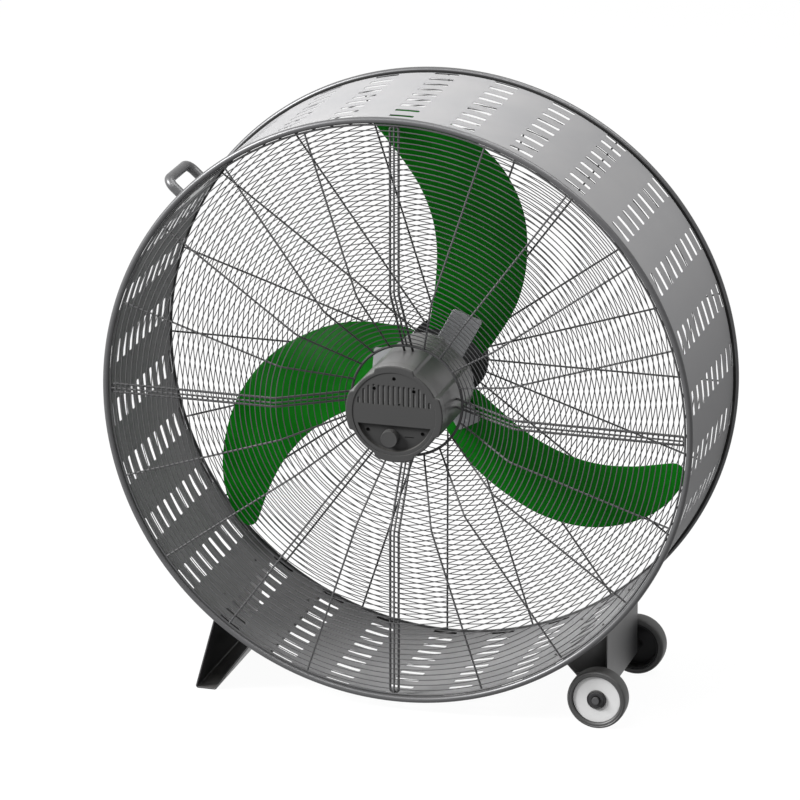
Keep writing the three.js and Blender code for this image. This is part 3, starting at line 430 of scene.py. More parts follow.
bead_paint = coated("bead_paint", colour(70, 70, 71), 0.36, metallic=0.4, specular=0.2, tone=0.05,
                    dusty=0.03)
# Near black with little sheen: the painted shadow where bead and sheet meet.
bead_shadow_paint = coated("bead_shadow_paint", colour(12, 12, 12), 0.6, specular=0.15, grain_size=0.6, dusty=0)
for end, middle, way in (("front", bead_depth / 2, 1), ("rear", drum_depth - bead_depth / 2, -1)):
    add_piece(end + "_bead", turned(bead_profile(middle), bead_steps, closed=True), "frame",
              bead_paint, [end + "_rim"])
    bead_shadow = [(shell_radius + height, middle + way * reach) for height, reach in bead_shadow_line]
    add_piece(end + "_seal", turned(bead_shadow, bead_steps, closed=True), "frame", bead_shadow_paint)

# ---- Wire guards ----
# Each guard is a net of fine wire rings welded to twenty spokes, all powder coated in dark grey. The
# front net turns back in a dish to the motor, and the rear one is flat round a small plate.

spoke_count = 20
ring_pitch = 11.15
ring_wire = 1.1
ring_sides = 6
ring_steps = 160
spoke_wire = 2
spoke_sides = 10
edge_wire = 2.2
net_radius = bead_inner - 3.2
rear_edge_sink = 3  # by which the rear guard's edge goes into the bead
spoke_depth = 7.5
weld_sink = 0.4  # by which crossing wires are pressed into each other
ring_lift = ring_wire + spoke_wire - weld_sink  # rings' middles over the spokes' middles
dish_radius = 255
dish_slope = 92.5 / 137  # depth gained for each step towards the motor
dish_bend = 30
hub_ring = 118
hub_ring_wire = 3
plate_radius = 88
plate_half = 0.8
plate_rib = 14  # spokes' stretch over the plate
wire_bend_steps = 8


def joined(*skins):
    """Several skins as one."""
    points, faces = [], []
    for skin_points, skin_faces in skins:
        faces += [tuple(corner + len(points) for corner in face) for face in skin_faces]
        points += skin_points
    return points, faces


def shifted(skin, x, depth, z):
    """A skin moved along the frame's three directions."""
    return [point + Vector((x, depth, z)) for point in skin[0]], skin[1]


def bent(corners, bend, steps=wire_bend_steps):
    """The line through some corners, with a round bend at each one between its ends."""
    line = [corners[0]]
    for before, corner, after in zip(corners, corners[1:], corners[2:]):
        back, ahead = (before - corner).normalized(), (after - corner).normalized()
        half = back.angle(ahead) / 2
        start = corner + back * (bend / math.tan(half))
        middle = corner + (back + ahead).normalized() * (bend / math.sin(half))
        spin = back.cross(ahead)
        for step in range(steps + 1):
            turn = -(math.pi - 2 * half) * step / steps
            line.append(middle + Quaternion(spin, turn) @ (start - middle))
    return line + [corners[-1]]


def wire(line, radius, sides):
    """A round wire along a line, turned no more than the line itself turns."""
    ways = [(after - before).normalized() for before, after in zip(line[:1] + line, line[1:] + line[-1:])]
    side = ways[0].orthogonal().normalized()
    rings = []
    for point, way, before in zip(line, ways, ways[:1] + ways):
        side = before.rotation_difference(way) @ side
        up = way.cross(side)
        rings.append([point + (side * math.cos(turn) + up * math.sin(turn)) * radius
                      for turn in spread(0, 2 * math.pi, sides)])
    return lofted(rings)


def hoop(radius, depth, wire_radius, sides):
    """A ring of wire round the drum's axis."""
    return turned([(radius + wire_radius * math.cos(turn), depth + wire_radius * math.sin(turn))
                   for turn in spread(0, 2 * math.pi, sides)], ring_steps, closed=True)


def dish_depth(radius):
    """How deep a front spoke's middle lies."""
    return spoke_depth + max(0, dish_radius - radius) * dish_slope


def net(inner, depth_of):
    """The rings of a guard between an inner radius and the guard's edge, each at its own depth."""
    count = round((net_radius - inner) / ring_pitch)
    radii = [inner + (net_radius - inner) * i / count for i in range(1, count)]
    return joined(*[hoop(radius, depth_of(radius), ring_wire, ring_sides) for radius in radii])


def front_ring_depth(radius):
    """How deep a front ring's middle lies, on the outside of the spokes."""
    return dish_depth(radius) - ring_lift * (math.hypot(1, dish_slope) if radius < dish_radius else 1)


def front_spokes():
    """The front guard's spokes, with the stout rings that they end on."""
    bars = []
    for angle in spread(0, 360, spoke_count):
        line = bent([polar(radius, angle, dish_depth(radius))
                     for radius in (net_radius, dish_radius, hub_ring)], dish_bend)
        bars.append(wire(line, spoke_wire, spoke_sides))
    edge = hoop(net_radius, spoke_depth - weld_sink, edge_wire, spoke_sides)
    hub = hoop(hub_ring, dish_depth(hub_ring), hub_ring_wire, spoke_sides)
    return joined(edge, hub, *bars)


def rear_spokes():
    """The rear guard's spokes, its outer ring sunk in the bead and the plate in its middle."""
    depth = drum_depth - spoke_depth
    edge_radius = net_radius + rear_edge_sink
    bars = [wire([polar(radius, angle, depth) for radius in (edge_radius, plate_radius - plate_rib)],
                 spoke_wire, spoke_sides) for angle in spread(0, 360, spoke_count)]
    plate = turned([(0, -plate_half), (plate_radius - plate_half, -plate_half), (plate_radius, 0),
                    (plate_radius - plate_half, plate_half), (0, plate_half)], ring_steps)
    return joined(hoop(edge_radius, depth + weld_sink, edge_wire, spoke_sides),
                  shifted(plate, 0, depth + spoke_wire + plate_half - weld_sink, 0), *bars)


guard_paint = coated("guard_paint", colour(56, 56, 57), 0.5, specular=0.2, tone=0.05, dusty=0.05)
add_piece("front_guard_spokes", front_spokes(), "frame", guard_paint, ["front_guard"])
front_net = net(hub_ring, front_ring_depth)
add_piece("front_guard_rings", front_net, "frame", guard_paint)
add_piece("rear_guard_spokes", rear_spokes(), "frame", guard_paint, ["rear_guard"])
rear_net = net(plate_radius, lambda radius: drum_depth - spoke_depth + ring_lift)
add_piece("rear_guard_rings", rear_net, "frame", guard_paint)

# ---- Motor arms ----
# Four long hoops of thick wire carry the motor. Each runs in from the drum's bead behind the front
# guard, follows its dish back and ends on a lobe of the motor, one leg on each side of a spoke.

arm_half_gap = 9
arm_wire = 2.5
arm_end = net_radius - 3.4
arm_run = 50  # straight stretch before the end
arm_corner = 5
arm_sides = 12
arm_depth = spoke_depth + 2.6
lobe_radius = 103


def turned_on(skin, degrees):
    """A skin turned about the depth line, from +X towards +Z."""
    turn = Quaternion((0, 1, 0), -math.radians(degrees))
    return [turn @ point for point in skin[0]], skin[1]


def motor_arm():
    """The right arm, one long wire U whose two ends start just inside the lobe's paint."""
    start = lobe_radius - arm_wire / 2

    def leg(offset):
        inner = Vector((start, arm_depth + (dish_radius - start) * dish_slope, offset))
        return bent([inner, Vector((dish_radius, arm_depth, offset)),
                     Vector((arm_end - arm_run, arm_depth, offset))], dish_bend)

    out, back = leg(arm_half_gap), leg(-arm_half_gap)[::-1]
    end = bent([out[-1], Vector((arm_end, arm_depth, arm_half_gap)),
                Vector((arm_end, arm_depth, -arm_half_gap)), back[0]], arm_corner)
    return wire(out[:-1] + end + back[1:], arm_wire, arm_sides)


for quarter, side in enumerate(("right", "top", "left", "bottom")):
    add_piece(side + "_arm", turned_on(motor_arm(), 90 * quarter), "frame", guard_paint,
              ["motor_arm_" + side])

# ---- Motor barrel ----
# The motor's case is a cast barrel with a wide lobe at each quarter, where the arms end, painted
# grey. An inner wall near its front carries one bearing and the end shield the other.

lobe_half_angle = 22
lobe_step_angle = 5
valley_radius = 96
barrel_bore = 89
barrel_front = 30.3
barrel_back = 232
barrel_edge = 1.4
inner_wall = (60, 72)
bearing_seat = 26.3
seat_radius = 32
collar_sides = 96
seat_length = 12
shield_front = 232.3
shield_back = 240.3
shield_hole = 12.5  # round the motor's shaft
shield_boss_radius = 36
shield_boss_back = 247
tie_bolt_radius = 94
tie_bolt = (7.6, 5.6, 4.6, 2.5, 6)  # washer, corner, head, shank and length
valley_angle = lobe_half_angle + lobe_step_angle
quarter_angles = [
    *spread(-lobe_half_angle, lobe_half_angle, 10), *spread(lobe_half_angle, valley_angle, 6),
    *spread(valley_angle, 90 - valley_angle, 8), *spread(90 - valley_angle, 90 - lobe_half_angle, 6)]
barrel_angles = [90 * quarter + angle for quarter in range(4) for angle in quarter_angles]


def barrel_ring(inset, depth):
    """The barrel's outline at a depth: a lobe at each quarter, with a smooth step down beside it."""
    ring = []
    for angle in barrel_angles:
        off = abs((angle + 45) % 90 - 45) - lobe_half_angle
        share = min(max(off / lobe_step_angle, 0), 1)
        drop = (lobe_radius - valley_radius) * share * share * (3 - 2 * share)
        ring.append(polar(lobe_radius - drop - inset, angle, depth))
    return ring


def barrel_circle(radius, depth):
    """A circle with a point for each point of the barrel's outline."""
    return [polar(radius, angle, depth) for angle in barrel_angles]


def six_sided(corner, depth, cut=math.inf):
    """A hexagon about the depth line, with its corners turned down to a radius."""
    flat = corner * math.cos(math.radians(30))
    return [polar(min(cut, flat / math.cos(math.radians(turn % 60 - 30))), turn, depth)
            for turn in spread(0, 360, round_sides)]


def collar(inner, outer, front, back):
    """A plain ring between two radii and two depths."""
    return turned([(inner, front), (outer, front), (outer, back), (inner, back)], collar_sides,
                  closed=True)


def aimed(skin, start, way):
    """A skin made about the depth line, moved to start at a point and go along a way."""
    turn = Vector((0, 1, 0)).rotation_difference(way)
    return [start + turn @ point for point in skin[0]], skin[1]


def bolt(washer, corner, head, shank, length):
    """A hexagon bolt whose head stands on 0 and points along the depth line, with a plain washer."""
    return lofted([
        ring_of(shank - 0.6, -length), ring_of(shank, 0.8 - length), ring_of(shank, 0),
        ring_of(washer - 0.2, 0), ring_of(washer, 0.3), ring_of(washer, 1), ring_of(washer - 0.3, 1.2),
        six_sided(corner, 1.2, corner - 0.4), six_sided(corner, 1.6), six_sided(corner, head - 0.9),
        six_sided(corner, head, corner * 0.88), ring_of(corner * 0.8, head + 0.1)])


motor_paint = coated("motor_paint", colour(104, 104, 104), 0.38, metallic=0.5, specular=0.2, tone=0.05,
                     grain_depth=0.03)
tube = lofted([
    barrel_circle(barrel_bore, barrel_front), barrel_ring(barrel_edge, barrel_front),
    barrel_ring(0.4, barrel_front + 0.4), barrel_ring(0, barrel_front + barrel_edge),
    barrel_ring(0, barrel_back - barrel_edge), barrel_ring(0.4, barrel_back - 0.4),
    barrel_ring(barrel_edge, barrel_back), barrel_circle(barrel_bore, barrel_back)], closed=True)
wall = collar(bearing_seat, barrel_bore + 1, *inner_wall)
add_piece("motor_barrel", joined(tube, wall), "frame", motor_paint, ["motor_housing"])

shield = lofted([
    barrel_circle(shield_hole, shield_front), barrel_ring(1, shield_front), barrel_ring(0, shield_front + 1),
    barrel_ring(0, shield_back - 2), barrel_ring(0.7, shield_back - 0.6), barrel_ring(2.2, shield_back),
    barrel_circle(shield_boss_radius + 3, shield_back),
    barrel_circle(shield_boss_radius + 0.8, shield_back + 1),
    barrel_circle(shield_boss_radius, shield_back + 3),
    barrel_circle(shield_boss_radius - 0.5, shield_boss_back - 0.5),
    barrel_circle(shield_boss_radius - 1.5, shield_boss_back),
    barrel_circle(shield_hole + 1.5, shield_boss_back),
    barrel_circle(shield_hole, shield_boss_back - 1)], closed=True)
seat = collar(bearing_seat, seat_radius, shield_front - seat_length, shield_front + 1)
add_piece("end_shield", joined(shield, seat), "frame", motor_paint, ["rear_end_shield"])

dark_steel = coated("dark_steel", colour(34, 34, 35), 0.4, metallic=0.7, grain_size=0.6)
tie_bolts = [aimed(bolt(*tie_bolt), polar(tie_bolt_radius, 90 * quarter, shield_back),
                   Vector((0, 1, 0))) for quarter in range(4)]
add_piece("tie_bolts", joined(*tie_bolts), "frame", dark_steel)

# ---- Cable gland ----
# A black plastic gland is screwed into the bottom of the barrel. Its dome nut is made to grip a
# supply cable, and its bore is open.

gland_depth = 200
gland_thread = 15  # length inside the barrel
gland_bore = 3.2
gland_thread_radius = 5.4
gland_corner = 9
black_plastic = coated("black_plastic", colour(28, 28, 29), 0.5, specular=0.25, grain_depth=0.03)
gland = lofted([
    ring_of(gland_bore, -gland_thread), ring_of(gland_thread_radius, -gland_thread),
    ring_of(gland_thread_radius, 0.3), six_sided(gland_corner, 0.3, 8.5), six_sided(gland_corner, 0.9),
    six_sided(gland_corner, 3.9), six_sided(gland_corner, 4.4, 8.6), ring_of(7.9, 4.5), ring_of(7.9, 5),
    six_sided(gland_corner, 5.1, 8.6), six_sided(gland_corner, 5.6), six_sided(gland_corner, 8.7),
    six_sided(gland_corner, 9.3, 8.4), ring_of(7.2, 9.4), ring_of(7.2, 17.5), ring_of(6.8, 19.6),
    ring_of(5.9, 21.2), ring_of(4.8, 22), ring_of(3.8, 22), ring_of(gland_bore, 21.4)], closed=True)
add_piece("gland", aimed(gland, polar(lobe_radius, 270, gland_depth), Vector((0, 0, -1))), "frame",
          black_plastic, ["cable_gland"])

# ---- Front cover ----
# A moulded cover in dark grey plastic closes the motor's front, on a skirt in the barrel's paint. Its
# round face is set back in a rim and has louvred vents, and a deep pocket below holds the controls.

cover_front = 5
cover_back = 30
cover_rim_back = 8.4
dial_radius = 88.5
dial_front = 6.8
dial_edge = 0.35  # rounding of the face's edges
cover_wall = 3
cover_bore = 85
vent_pitch = 10.7
vent_width = 5
vent_bottom = 18
vent_tops = [60, 60, 60, 60, 60, 58, 50, 31]  # from the middle one outwards
broken_vent_rise = 1  # a vent that a screw breaks reaches so much higher
vent_corner = 1.8
louvre_shallow = 8.1  # depth at a louvre's right edge
louvre_deep = 10.6
louvre_sheet = 1
louvre_overlap = 0.8
pocket_edge = -24.5
pocket_radius = 81
pocket_floor = 15.6
dial_screws = [(0, 75.3), (42, 51.6), (-42, 51.6)]
pocket_screws = [(58, -39.7), (-58, -39.7)]
screw_hole = 3.9
screw_gap = 5.2  # left round a screw where it stands in a vent
small_hole = (10.7, 21.3)
small_hole_radius = 2.2
small_hole_gap = 3
pocket_lap = 2  # of the pocket's flange in the round face's sheet
pocket_steps = 48
corner_steps = 4


def moved_in(outline, distance):
    """An outline moved to its left by a distance, with square corners."""
    moved = []
    for before, at, after in zip(outline[-1:] + outline, outline, outline[1:] + outline[:1]):
        way, on = (Vector(at) - Vector(before)).normalized(), (Vector(after) - Vector(at)).normalized()
        left = Vector((-way.y - on.y, way.x + on.x)).normalized()
        moved.append(Vector(at) + left * (distance / max(0.3, left.dot(Vector((-on.y, on.x))))))
    return moved


def is_inside(x, z, loops):
    """Whether a point lies inside an odd number of loops."""
    odd = False
    for loop in loops:
        for (x1, z1), (x2, z2) in zip(loop, loop[1:] + loop[:1]):
            if (z1 > z) != (z2 > z) and x < x1 + (x2 - x1) * (z - z1) / (z2 - z1):
                odd = not odd
    return odd


def pressed(outlines, front, back, edge):
    """A flat plate between two depths from its outline and then the outlines of its holes, in x and
    z. Its edges are rounded."""
    loops = []
    for number, outline in enumerate(outlines):
        area = sum(a[0] * b[1] - b[0] * a[1] for a, b in zip(outline, outline[1:] + outline[:1]))
        loops.append(outline if (area > 0) == (number == 0) else outline[::-1])
    face_loops = [moved_in(loop, edge) for loop in loops]
    skins, borders = [], []
    for loop, face_loop in zip(loops, face_loops):
        middle_loop = moved_in(loop, 0.3 * edge)
        points, faces = lofted([[Vector((x, depth, z)) for x, z in ring] for ring, depth in (
            (face_loop, front), (middle_loop, front + 0.3 * edge), (loop, front + edge),
            (loop, back - edge), (middle_loop, back - 0.3 * edge), (face_loop, back))])
        skins.append((points, faces[:-2]))
        start = len(borders)
        borders += [(start + i, start + (i + 1) % len(loop)) for i in range(len(loop))]
    flat = [point for loop in face_loops for point in loop]
    corners, _, triangles = delaunay_2d_cdt(flat, borders, [], 0, 1e-6)[:3]
    middles = [sum((corners[i] for i in triangle), Vector((0, 0))) / 3 for triangle in triangles]
    kept = [triangle for triangle, at in zip(triangles, middles) if is_inside(at.x, at.y, face_loops)]
    skins += [([Vector((x, depth, z)) for x, z in corners], kept) for depth in (front, back)]
    return joined(*skins)


def circle_outline(radius, x=0, z=0, steps=32):
    """A circle's points in x and z."""
    return [(x + radius * math.cos(turn), z + radius * math.sin(turn))
            for turn in spread(0, 2 * math.pi, steps)]


def box_outline(x_low, x_high, z_low, z_high, corner):
    """The outline of a rectangle with round corners, in x and z."""
    left, right, bottom, top = x_low + corner, x_high - corner, z_low + corner, z_high - corner
    points = []
    for quarter, (x, z) in enumerate(((right, top), (left, top), (left, bottom), (right, bottom))):
        for step in range(corner_steps + 1):
            turn = math.radians(90 * (quarter + step / corner_steps))
            points.append((x + corner * math.cos(turn), z + corner * math.sin(turn)))
    return points


def pocket_outline(inset):
    """The pocket's outline, a part of a disc below a straight edge."""
    radius, edge = pocket_radius - inset, pocket_edge - inset
    start = math.asin(edge / radius)
    turns = [start - (math.pi + 2 * start) * step / pocket_steps for step in range(pocket_steps + 1)]
    return [(radius * math.cos(turn), radius * math.sin(turn)) for turn in turns]


def vents():
    """Each vent's middle line and its lower and upper end. Two are broken by a screw."""
    stretches = []
    for number in range(1 - len(vent_tops), len(vent_tops)):
        x, top = number * vent_pitch, vent_tops[abs(number)]
        crossing = [z for screw_x, z in dial_screws if abs(screw_x - x) < vent_width and z < top]
        if crossing:
            stretches += [(x, vent_bottom, crossing[0] - screw_gap),
                          (x, crossing[0] + screw_gap, top + broken_vent_rise)]
        elif abs(small_hole[0] - x) < vent_width:
            stretches.append((x, small_hole[1] + small_hole_gap, top))
        else:
            stretches.append((x, vent_bottom, top))
    return stretches


def louvre(x, low, high):
    """The slanted strip behind a vent."""
    half = vent_width / 2 + louvre_overlap
    section = [(x - half, louvre_deep), (x + half, louvre_shallow),
               (x + half, louvre_shallow + louvre_sheet), (x - half, louvre_deep + louvre_sheet)]
    return lofted([[Vector((at, depth, z)) for at, depth in section] for z in (low - 1, high + 1)])


rim = lofted([
    barrel_circle(dial_radius, dial_front + 1.4), barrel_circle(dial_radius, cover_front + 0.9),
    barrel_circle(dial_radius + 0.3, cover_front + 0.3), barrel_circle(dial_radius + 1, cover_front),
    barrel_ring(2.4, cover_front), barrel_ring(1.2, cover_front + 0.3),
    barrel_ring(0.3, cover_front + 1.2), barrel_ring(0, cover_front + 2), barrel_ring(0, cover_rim_back),
    barrel_circle(cover_bore, cover_rim_back), barrel_circle(cover_bore, dial_front + 1.4)], closed=True)
skirt = lofted([
    barrel_ring(0.5, cover_rim_back), barrel_ring(0, cover_rim_back + 0.4),
    barrel_ring(0, cover_back - 0.4), barrel_ring(0.4, cover_back), barrel_circle(cover_bore, cover_back),
    barrel_circle(cover_bore, cover_rim_back)], closed=True)
holes = [box_outline(x - vent_width / 2, x + vent_width / 2, low, high,
                     min(vent_corner, (high - low) / 2.2)) for x, low, high in vents()]
holes += [circle_outline(screw_hole, *place) for place in dial_screws]
holes += [circle_outline(small_hole_radius, *small_hole), pocket_outline(0)]
dial = pressed([circle_outline(dial_radius, steps=120), *holes], dial_front, dial_front + cover_wall,
               dial_edge)


def pocket_ring(inset, depth):
    """The pocket's outline at a depth."""
    return [Vector((x, depth, z)) for x, z in pocket_outline(inset)]


pocket = lofted([
    pocket_ring(2.4, pocket_floor), pocket_ring(1.1, pocket_floor - 0.4),
    pocket_ring(0.5, pocket_floor - 1.6), pocket_ring(0.25, dial_front + 1.2),
    pocket_ring(0.05, dial_front + 0.9), pocket_ring(-pocket_lap, dial_front + 1.2),
    pocket_ring(-pocket_lap, pocket_floor + cover_wall)])
cover_plastic = coated("cover_plastic", colour(45, 45, 45), 0.5, specular=0.15, tone=0.05,
                       grain_size=0.8, grain_depth=0.03, dusty=0.04)
add_piece("cover", joined(rim, dial), "frame", cover_plastic, ["front_cover"])
add_piece("cover_skirt", skirt, "frame", motor_paint)
# Darker than the cover: painted shade for the pocket's recess.
pocket_shade_plastic = coated("pocket_shade_plastic", colour(36, 36, 36), 0.55, specular=0.15, grain_size=0.8)
add_piece("cover_pocket", pocket, "frame", pocket_shade_plastic)
# Paler than the cover: painted light on the strips that lie in the vents' shade.
louvre_painted_light = coated("louvre_painted_light", colour(72, 72, 72), 0.5, specular=0.2, grain_size=0.8)
add_piece("cover_louvres", joined(*[louvre(*vent) for vent in vents()]), "frame",
          louvre_painted_light)

# ---- Cover screws ----
# Five steel screws hold the cover. Their flat, unreflecting black is painted shade for their holes.
# Each has a low round head with a hexagon socket.
# Three stand in holes of the cover's round face and two in the pocket's floor.

dial_screw_sink = 0.5  # of its head below the cover's round face
pocket_screw_height = 1.6  # of its head over the pocket's floor
socket_corner = 1.9
screw_radius = 2
screw_length = 7.9


def socket_screw(x, z, face):
    """A low round head with a hexagon socket, from its face back into the cover."""
    screw = lofted([
        six_sided(socket_corner, 1.1), six_sided(socket_corner, 0.2), ring_of(2.4, 0), ring_of(3, 0.05),
        ring_of(3.4, 0.4), ring_of(3.5, 0.9), ring_of(screw_radius, 0.9),
        ring_of(screw_radius, screw_length - 0.4), ring_of(screw_radius - 0.4, screw_length)])
    return shifted(screw, x, face, z)


# Dead black with no sheen: the setting mark's print, and painted shade on the screw heads.
print_and_hole_shade_black = coated("print_and_hole_shade_black", colour(6, 6, 6), 0.8, specular=0, grain_size=0.5, dusty=0)
screw_faces = [(*place, dial_front + dial_screw_sink) for place in dial_screws]
screw_faces += [(*place, pocket_floor - pocket_screw_height) for place in pocket_screws]
for number, (x, z, face) in enumerate(screw_faces, 1):
    add_piece(f"socket_screw_{number}", socket_screw(x, z, face), "frame", print_and_hole_shade_black,
              [f"cover_screw_{number}"])

# ---- Speed control ----
# A round knob with a finely fluted edge, moulded in the cover's plastic, turns the regulator behind
# the pocket. A printed line on the pocket's floor marks its setting.

knob_x, knob_z = -9, -53
knob_radius = 18.6
knob_flutes = 36
flute_depth = 0.3
knob_sides = 144
knob_back = pocket_floor - 0.3
mark_outline = box_outline(20, 40, -50.2, -48.8, 0.6)
mark_proud = 0.15
mark_sink = 0.3


def fluted(radius, depth, share):
    """A circle with shallow flutes, each four points wide."""
    return [polar(radius - share * flute_depth * (1 - math.cos(math.radians(knob_flutes * turn))), turn,
                  depth) for turn in spread(0, 360, knob_sides)]


knob = lofted([
    fluted(14.6, 0.35, 0), fluted(15.2, 0.05, 0), fluted(16, 0, 0), fluted(16.9, 0.2, 0),
    fluted(17.4, 0.9, 0), fluted(17.6, 2, 1), fluted(18.3, 11.5, 1), fluted(18.5, 12.6, 0),
    fluted(knob_radius, 13.2, 0), fluted(knob_radius, knob_back - 0.4, 0),
    fluted(knob_radius - 0.4, knob_back, 0)])
add_piece("knob", shifted(knob, knob_x, 0, knob_z), "knob", cover_plastic,
          ["speed_knob"])

mark = pressed([mark_outline], pocket_floor - mark_proud, pocket_floor + mark_sink, 0.05)
add_piece("setting_mark", mark, "frame", print_and_hole_shade_black)

# ---- Inside the motor ----
# The closed motor's inner pieces: the wound stator, the laminated rotor, two bearings, the control
# board and the regulator with its spindle. Their solids are kept, each with its own finish.

steel = coated("steel", colour(176, 178, 180), 0.34, metallic=0.85, grain_size=0.6, tone=0.06)
winding = coated("winding", colour(168, 92, 46), 0.36, metallic=0.8, tone=0.35, patch=9, grain_size=0.9,
                 grain_depth=0.25)
board_lacquer = coated("board_lacquer", colour(34, 78, 55), 0.42, tone=0.2, patch=14, grain_size=0.5)
for node, finish in (("stator", winding), ("rotor_core", steel), ("front_bearing", steel),
                     ("rear_bearing", steel), ("control_board", board_lacquer),
                     ("speed_control", steel), ("knob_shaft", steel)):
    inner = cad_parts[node]
    inner.data.materials.clear()
    inner.data.materials.append(finish)

# ---- Hub ----
# A cast hub sits on the end of the motor's shaft, which runs right through it. A steel nut holds it,
# and the three blades' brackets are welded to its side.

hub_radius = 50
hub_front = 300
hub_back = 350
shaft_radius = 12
shaft_front = 56
shaft_back = 362.3
shaft_edge = 1.2
nut_corner = 17
nut_height = 10
cast_metal = coated("cast_metal", colour(142, 143, 145), 0.42, metallic=0.15, tone=0.07, patch=30,
                    grain_size=1.6, grain_depth=0.08)
hub = turned([
    (shaft_radius + 0.3, hub_front + 0.6), (shaft_radius + 0.9, hub_front), (30, hub_front),
    (32, hub_front + 1.6), (41, hub_front + 1.6), (43, hub_front), (46, hub_front), (48.6, hub_front + 0.7),
    (hub_radius, hub_front + 3), (hub_radius, hub_back - 3), (48.6, hub_back - 0.7), (46, hub_back),
    (28, hub_back), (26, hub_back - 1.6), (22, hub_back - 1.6), (20, hub_back),
    (shaft_radius + 0.9, hub_back), (shaft_radius + 0.3, hub_back - 0.6)], 120, closed=True)
add_piece("hub", hub, "impeller", cast_metal, ["fan_hub"])

shaft_line = [
    (shaft_radius - shaft_edge, shaft_front), (shaft_radius, shaft_front + shaft_edge),
    (shaft_radius, shaft_back - shaft_edge), (shaft_radius - shaft_edge, shaft_back), (3, shaft_back),
    (0.6, shaft_back - 2.5)]
add_piece("shaft", turned(shaft_line), "impeller", steel, ["motor_shaft"])

nut_start = hub_back + 0.3
nut_end = nut_start + nut_height
nut = lofted([
    ring_of(12.3, nut_start), six_sided(nut_corner, nut_start, 16.2), six_sided(nut_corner, nut_start + 0.8),
    six_sided(nut_corner, nut_end - 1), six_sided(nut_corner, nut_end, 15.2), ring_of(13.3, nut_end),
    ring_of(12.3, nut_end - 0.6)], closed=True)
add_piece("shaft_nut", nut, "impeller", steel, ["hub_nut"])

# ---- Blades ----
# Three swept blades, moulded in green plastic. Each is a thin crowned sheet that starts wide beside
# the hub and sweeps round to a narrow tip close to the drum.

blade_count = 3
root_radius = 88
tip_radius = 570
blade_half = 2  # half the sheet's thickness
blade_crown = 12
blade_edge = 0.02  # share of the chord over which an edge is rounded
tip_edge = 0.012  # share of the span over which the tip thins
tip_least = 0.35
blade_rows = [
    # share of the span, leading and trailing angle, leading and trailing depth
    (0, 15.5, 99.5, 372, 314),
    (0.105, 30, 92.9, 374, 312),
    (0.274, 43, 89.4, 379, 309),
    (0.443, 54, 90.2, 380, 309),
    (0.613, 63.7, 93.8, 371, 304),
    (0.771, 74.2, 98.7, 352, 299),
    (0.866, 82.3, 101.8, 333, 299),
    (0.923, 87.6, 103.4, 323, 300),
    (0.95, 90.6, 103.7, 318, 301),
    (0.974, 93.8, 103.3, 314, 303),
    (0.991, 96.9, 102.5, 311, 304),
    (1, 99.3, 101.3, 309, 306),
]
span_steps = 48
chord_shares = [0, 0.003, 0.009, 0.02, 0.06, 0.12, 0.2, 0.3, 0.4, 0.5, 0.6, 0.7, 0.8, 0.88, 0.94, 0.98,
                0.991, 0.997, 1]


def blade_row(span):
    """The blade's angles and depths at a share of its span, on a smooth line through the rows."""
    last = len(blade_rows) - 1
    low = max(i for i in range(last) if blade_rows[i][0] <= span)
    before, after = blade_rows[low], blade_rows[low + 1]
    width = after[0] - before[0]
    share = (span - before[0]) / width
    values = []
    for column in range(1, 5):
        def rise(i):
            one, two = blade_rows[max(i - 1, 0)], blade_rows[min(i + 1, last)]
            return (two[column] - one[column]) / (two[0] - one[0]) * width
        values.append((2 * share ** 3 - 3 * share ** 2 + 1) * before[column]
                      + (share ** 3 - 2 * share ** 2 + share) * rise(low)
                      + (3 * share ** 2 - 2 * share ** 3) * after[column]
                      + (share ** 3 - share ** 2) * rise(low + 1))
    return values


def blade_point(span, chord):
    """A point on the middle of the blade's sheet."""
    lead, trail, lead_depth, trail_depth = blade_row(span)
    crown = blade_crown * (1 - span) * 4 * chord * (1 - chord)
    return polar(root_radius + (tip_radius - root_radius) * span, lead + (trail - lead) * chord,
                 lead_depth + (trail_depth - lead_depth) * chord - crown)


def blade_skin():
    """Closed sections over the chord, one after the other along the span."""
    sections = []
    for step in range(span_steps + 1):
        span = step / span_steps
        tip = min(1, max(tip_least, (1 - span) / tip_edge))

        def side(chord, way):
            near = min(chord, 1 - chord) / blade_edge
            full = math.sqrt(1 - (1 - near) ** 2) if near < 1 else 1
            return blade_point(span, chord) + Vector((0, way * blade_half * full * tip, 0))

        sections.append([side(chord, -1) for chord in chord_shares]
                        + [side(chord, 1) for chord in chord_shares[-2:0:-1]])
    return lofted(sections)


green_plastic = coated("green_plastic", colour(6, 98, 12), 0.36, specular=0.06, tone=0.16, patch=90,
                       grain_size=1.5, grain_depth=0.015, dusty=0.03)
for number, angle in enumerate(spread(0, 360, blade_count), 1):
    add_piece(f"green_blade_{number}", turned_on(blade_skin(), angle), "impeller",
              green_plastic, [f"blade_{number}"], crease=60)

# ---- Blade brackets ----
# Each blade is riveted to a flat cast bracket in front of it, which is welded to the hub. The two
# steel rivets have their round heads behind the blade.

bracket_angle = 62
bracket_half = 34
bracket_end = 139
bracket_face = -8.1  # front of the bracket from the blade's front skin
bracket_back = -2.1
bracket_corner = 6
bracket_edge = 0.8
bracket_rows = 16
bracket_sink = 0.6  # of its inner end in the hub
rivet_places = [102, 126]
rivet_radius = 3
small_sides = 32
rivet_head = 4.4  # where the head starts behind the blade


def bracket_frame():
    """The first bracket's own frame: x along the radius, y back through the blade, z over it."""
    middle = (root_radius + bracket_end) / 2
    span = (middle - root_radius) / (tip_radius - root_radius)
    lead, trail = blade_row(span)[:2]
    chord = (bracket_angle - lead) / (trail - lead)
    radial = polar(1, bracket_angle)
    over = blade_point(span, chord + 0.05) - blade_point(span, chord - 0.05)
    over = (over - radial * over.dot(radial)).normalized()
    through = over.cross(radial).normalized()
    start = blade_point(span, chord) - radial * middle - Vector((0, blade_half / through.y, 0))
    frame_of = Matrix((radial, through, over)).transposed().to_4x4()
    frame_of.translation = start
    return frame_of


on_bracket = bracket_frame()


